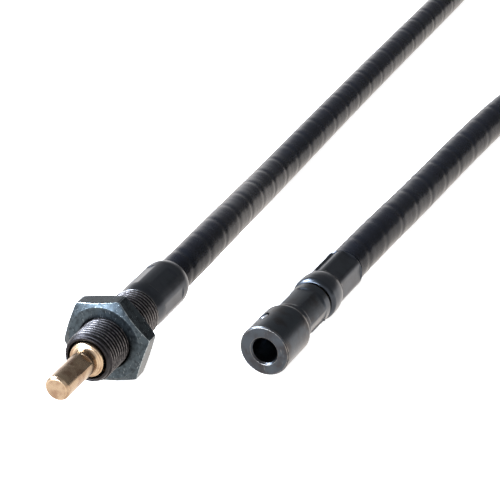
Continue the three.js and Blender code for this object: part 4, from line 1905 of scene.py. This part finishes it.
# ---- Pieces that keep their CAD shape ----------------------------------------------------------


def dress_inner_pieces(frame: dict[str, Any], panel: Axis, coupler: Axis) -> None:
    """Gives the pieces inside the fittings and the casing their finishes.

    Args:
        frame: The loaded frame.
        panel: The panel end's axis.
        coupler: The coupler end's axis.
    """
    bronze, steel = OILED_BRONZE.build(panel), BRIGHT_STEEL.build(panel)
    wire = WOUND_WIRE.build(coupler)
    finishes = {
        "spindle_front_washer": bronze,
        "spindle_front_bearing": bronze,
        "spindle_rear_bearing": bronze,
        "spindle_rear_washer": bronze,
        "coupler_thrust_washer": bronze,
        "coupler_bearing": bronze,
        "spindle_retaining_ring": steel,
        "core_socket": steel,
        "casing_liner": wire,
        "drive_core": wire,
    }
    for name, material in finishes.items():
        for spot in frame["nodes"][name].material_slots:
            spot.material = material


# ---- The studio ----------------------------------------------------------------------------------


@dataclass(frozen=True)
class PhotoCamera:
    """The photograph's viewpoint, from the coupler's face on the bench.

    The eye's place is in millimetres, and the nearest and farthest that it sees in metres.
    """

    eye: tuple[float, float, float] = (212.14, -360.445, 194.323)
    azimuth_deg: float = 30.302
    elevation_deg: float = 21.212
    roll_deg: float = -10.954
    lens_mm: float = 140.88
    sensor_mm: float = 36.0
    nearest: float = 0.01
    farthest: float = 20.0

    def build(self, coupler: Axis) -> bpy.types.Object:
        """Makes the camera and sets it as the scene's.

        Args:
            coupler: The coupler's axis, which the eye is measured from.

        Returns:
            The camera.
        """
        azimuth, elevation = math.radians(self.azimuth_deg), math.radians(self.elevation_deg)
        roll = math.radians(self.roll_deg)
        ahead = Vector(
            (
                -math.sin(azimuth) * math.cos(elevation),
                math.cos(azimuth) * math.cos(elevation),
                -math.sin(elevation),
            )
        )
        right = Vector((math.cos(azimuth), math.sin(azimuth), 0.0))
        up = right.cross(ahead)
        rolled_right = right * math.cos(roll) + up * math.sin(roll)
        rolled_up = up * math.cos(roll) - right * math.sin(roll)
        turn = Matrix((rolled_right, rolled_up, -ahead)).transposed().to_4x4()
        data = bpy.data.cameras.new("photo_camera")
        data.lens = self.lens_mm
        data.sensor_width = self.sensor_mm
        data.sensor_fit = "AUTO"
        data.clip_start, data.clip_end = self.nearest, self.farthest
        camera = bpy.data.objects.new("photo_camera", data)
        place = Vector(self.eye) + Vector((coupler.tip[0], coupler.tip[1], 0.0))
        camera.matrix_world = Matrix.Translation(place * MM) @ turn
        bpy.context.scene.collection.objects.link(camera)
        bpy.context.scene.camera = camera
        return camera


@dataclass(frozen=True)
class SoftBox:
    """A square soft light that faces the part, placed by its direction from it, in metres."""

    name: str
    azimuth_deg: float
    elevation_deg: float
    distance: float
    width: float
    height: float
    watts: float
    colour: str

    def build(self, centre: Vector) -> None:
        """Hangs the light.

        Args:
            centre: What it faces, in metres. Azimuth 0 is +Y, and 90 is +X.
        """
        azimuth, elevation = math.radians(self.azimuth_deg), math.radians(self.elevation_deg)
        out = Vector(
            (
                math.sin(azimuth) * math.cos(elevation),
                math.cos(azimuth) * math.cos(elevation),
                math.sin(elevation),
            )
        )
        data = bpy.data.lights.new(self.name, "AREA")
        data.shape = "RECTANGLE"
        data.size, data.size_y = self.width, self.height
        data.energy = self.watts
        data.color = linear(self.colour)[:3]
        lamp = bpy.data.objects.new(self.name, data)
        lamp.location = centre + out * self.distance
        lamp.rotation_mode = "QUATERNION"
        lamp.rotation_quaternion = out.to_track_quat("Z", "Y")
        bpy.context.scene.collection.objects.link(lamp)


@dataclass(frozen=True)
class Glow:
    """A bright part of the room, which fades out upwards and along one of its sides.

    Each fade goes from where the glow is gone to where it is full, as a share of the room.
    """

    upwards: tuple[float, float]
    side: str
    sideways: tuple[float, float]
    strength: float


@dataclass(frozen=True)
class Studio:
    """A white table in a dim room, with cool soft lights on the left and in front.

    A white sweep stands behind on the left, and a pale wall in front. Metal mirrors both.
    """

    boxes: tuple[SoftBox, ...] = (
        SoftBox(
            name="left_box",
            azimuth_deg=-108.0,
            elevation_deg=50.0,
            distance=1.3,
            width=0.75,
            height=0.6,
            watts=62.0,
            colour="#e8f1ff",
        ),
        SoftBox(
            name="front_box",
            azimuth_deg=-158.0,
            elevation_deg=20.0,
            distance=1.4,
            width=0.8,
            height=0.7,
            watts=35.0,
            colour="#e8f1ff",
        ),
    )
    room: str = "#f0eeee"
    ceiling: float = 0.3
    sweep: Glow = Glow(upwards=(0.5, 0.08), side="X", sideways=(0.05, -0.5), strength=2.0)
    front_wall: Glow = Glow(upwards=(0.78, 0.5), side="Y", sideways=(-0.05, -0.55), strength=0.75)
    table: str = "#f4f4f4"
    table_half: float = 3.0
    table_glow: float = 0.9
    mirrored: str = "#fff7f0"
    mirrored_glow: float = 1.8

    def build(self, centre: Vector) -> None:
        """Makes the table, the world and the lights.

        Args:
            centre: The middle of what the camera sees of the part, in metres.
        """
        for box in self.boxes:
            box.build(centre)
        self._world()
        self._table()
        bpy.context.scene.view_settings.view_transform = "Standard"

    def _world(self) -> None:
        """Makes the room dim but for its two glows."""
        world = bpy.data.worlds.new("room")
        world.use_nodes = True
        tree = world.node_tree
        tree.nodes.clear()
        place = add_node(tree, "ShaderNodeTexCoord", {}).outputs["Generated"]
        parts = add_node(tree, "ShaderNodeSeparateXYZ", {"Vector": place}).outputs
        strength: Any = self.ceiling
        for glow in (self.sweep, self.front_wall):
            upwards, sideways = (
                add_node(
                    tree,
                    "ShaderNodeMapRange",
                    {"Value": parts[side], "From Min": gone, "From Max": full},
                    interpolation_type="SMOOTHSTEP",
                )
                for side, (gone, full) in (("Z", glow.upwards), (glow.side, glow.sideways))
            )
            lit = add_node(tree, "ShaderNodeMath", {0: upwards, 1: sideways}, operation="MULTIPLY")
            strength = add_node(
                tree,
                "ShaderNodeMath",
                {0: lit, 1: glow.strength, 2: strength},
                operation="MULTIPLY_ADD",
            )
        light = add_node(
            tree, "ShaderNodeBackground", {"Color": linear(self.room), "Strength": strength}
        )
        add_node(tree, "ShaderNodeOutputWorld", {"Surface": light})
        bpy.context.scene.world = world

    def _table(self) -> None:
        """Lays the white table: the camera sees its shadows, and metal a bright image of it."""
        half = self.table_half
        table = new_object(
            "table",
            [(-half, -half, 0.0), (half, -half, 0.0), (half, half, 0.0), (-half, half, 0.0)],
            [(0, 1, 2, 3)],
        )
        material = new_material("white_table")
        tree = material.node_tree
        rays = add_node(tree, "ShaderNodeLightPath", {}).outputs
        mirrored = add_node(
            tree,
            "ShaderNodeMath",
            {0: rays["Is Glossy Ray"], 1: rays["Is Transmission Ray"]},
            operation="MAXIMUM",
        )
        plain = add_node(tree, "ShaderNodeBsdfDiffuse", {"Color": linear(self.table)})
        glow = add_node(tree, "ShaderNodeEmission", {"Strength": self.table_glow})
        lit = add_node(tree, "ShaderNodeAddShader", {0: plain, 1: glow})
        seen = add_node(tree, "ShaderNodeMixShader", {0: rays["Is Camera Ray"], 1: plain, 2: lit})
        image = add_node(
            tree,
            "ShaderNodeEmission",
            {"Color": linear(self.mirrored), "Strength": self.mirrored_glow},
        )
        both = add_node(tree, "ShaderNodeMixShader", {0: mirrored, 1: seen, 2: image})
        add_node(tree, "ShaderNodeOutputMaterial", {"Surface": both})
        table.data.materials.append(material)


# ---- Everything together -----------------------------------------------------------------------

# The panel end's tip from the coupler's face, and the middle of the view, in millimetres.
PANEL_OFFSET = (-37.98, -31.1)
PANEL_HEIGHT = 10.3
PANEL_YAW_DEG = 2.73
COUPLER_HEIGHT = 6.35
VIEW_MIDDLE = Vector((-20.0, 10.0, 8.0))


def main() -> None:
    """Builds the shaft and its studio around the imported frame."""
    logging.basicConfig(level=logging.INFO, format="%(name)s: %(message)s")
    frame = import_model()
    low, high = (Vector(c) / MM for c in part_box("coupler_hub"))
    face = Vector(((low.x + high.x) / 2.0, low.y, 0.0))
    coupler = Axis((face.x, face.y, COUPLER_HEIGHT), 0.0)
    panel = Axis((face.x + PANEL_OFFSET[0], face.y + PANEL_OFFSET[1], PANEL_HEIGHT), PANEL_YAW_DEG)
    PhotoCamera().build(coupler)
    cutter = thread_cutter()
    panel_end, coupler_end = PanelEnd(panel, cutter), CouplerEnd(coupler, cutter)
    for assembly in (Casing(panel_end, coupler_end, casing_winder()), panel_end, coupler_end):
        for piece in assembly.build():
            LOG.info("%s has %d faces", piece.name, len(piece.data.polygons))
    dress_inner_pieces(frame, panel, coupler)
    Studio().build((face + VIEW_MIDDLE) * MM)


if __name__ == "__main__":
    main()
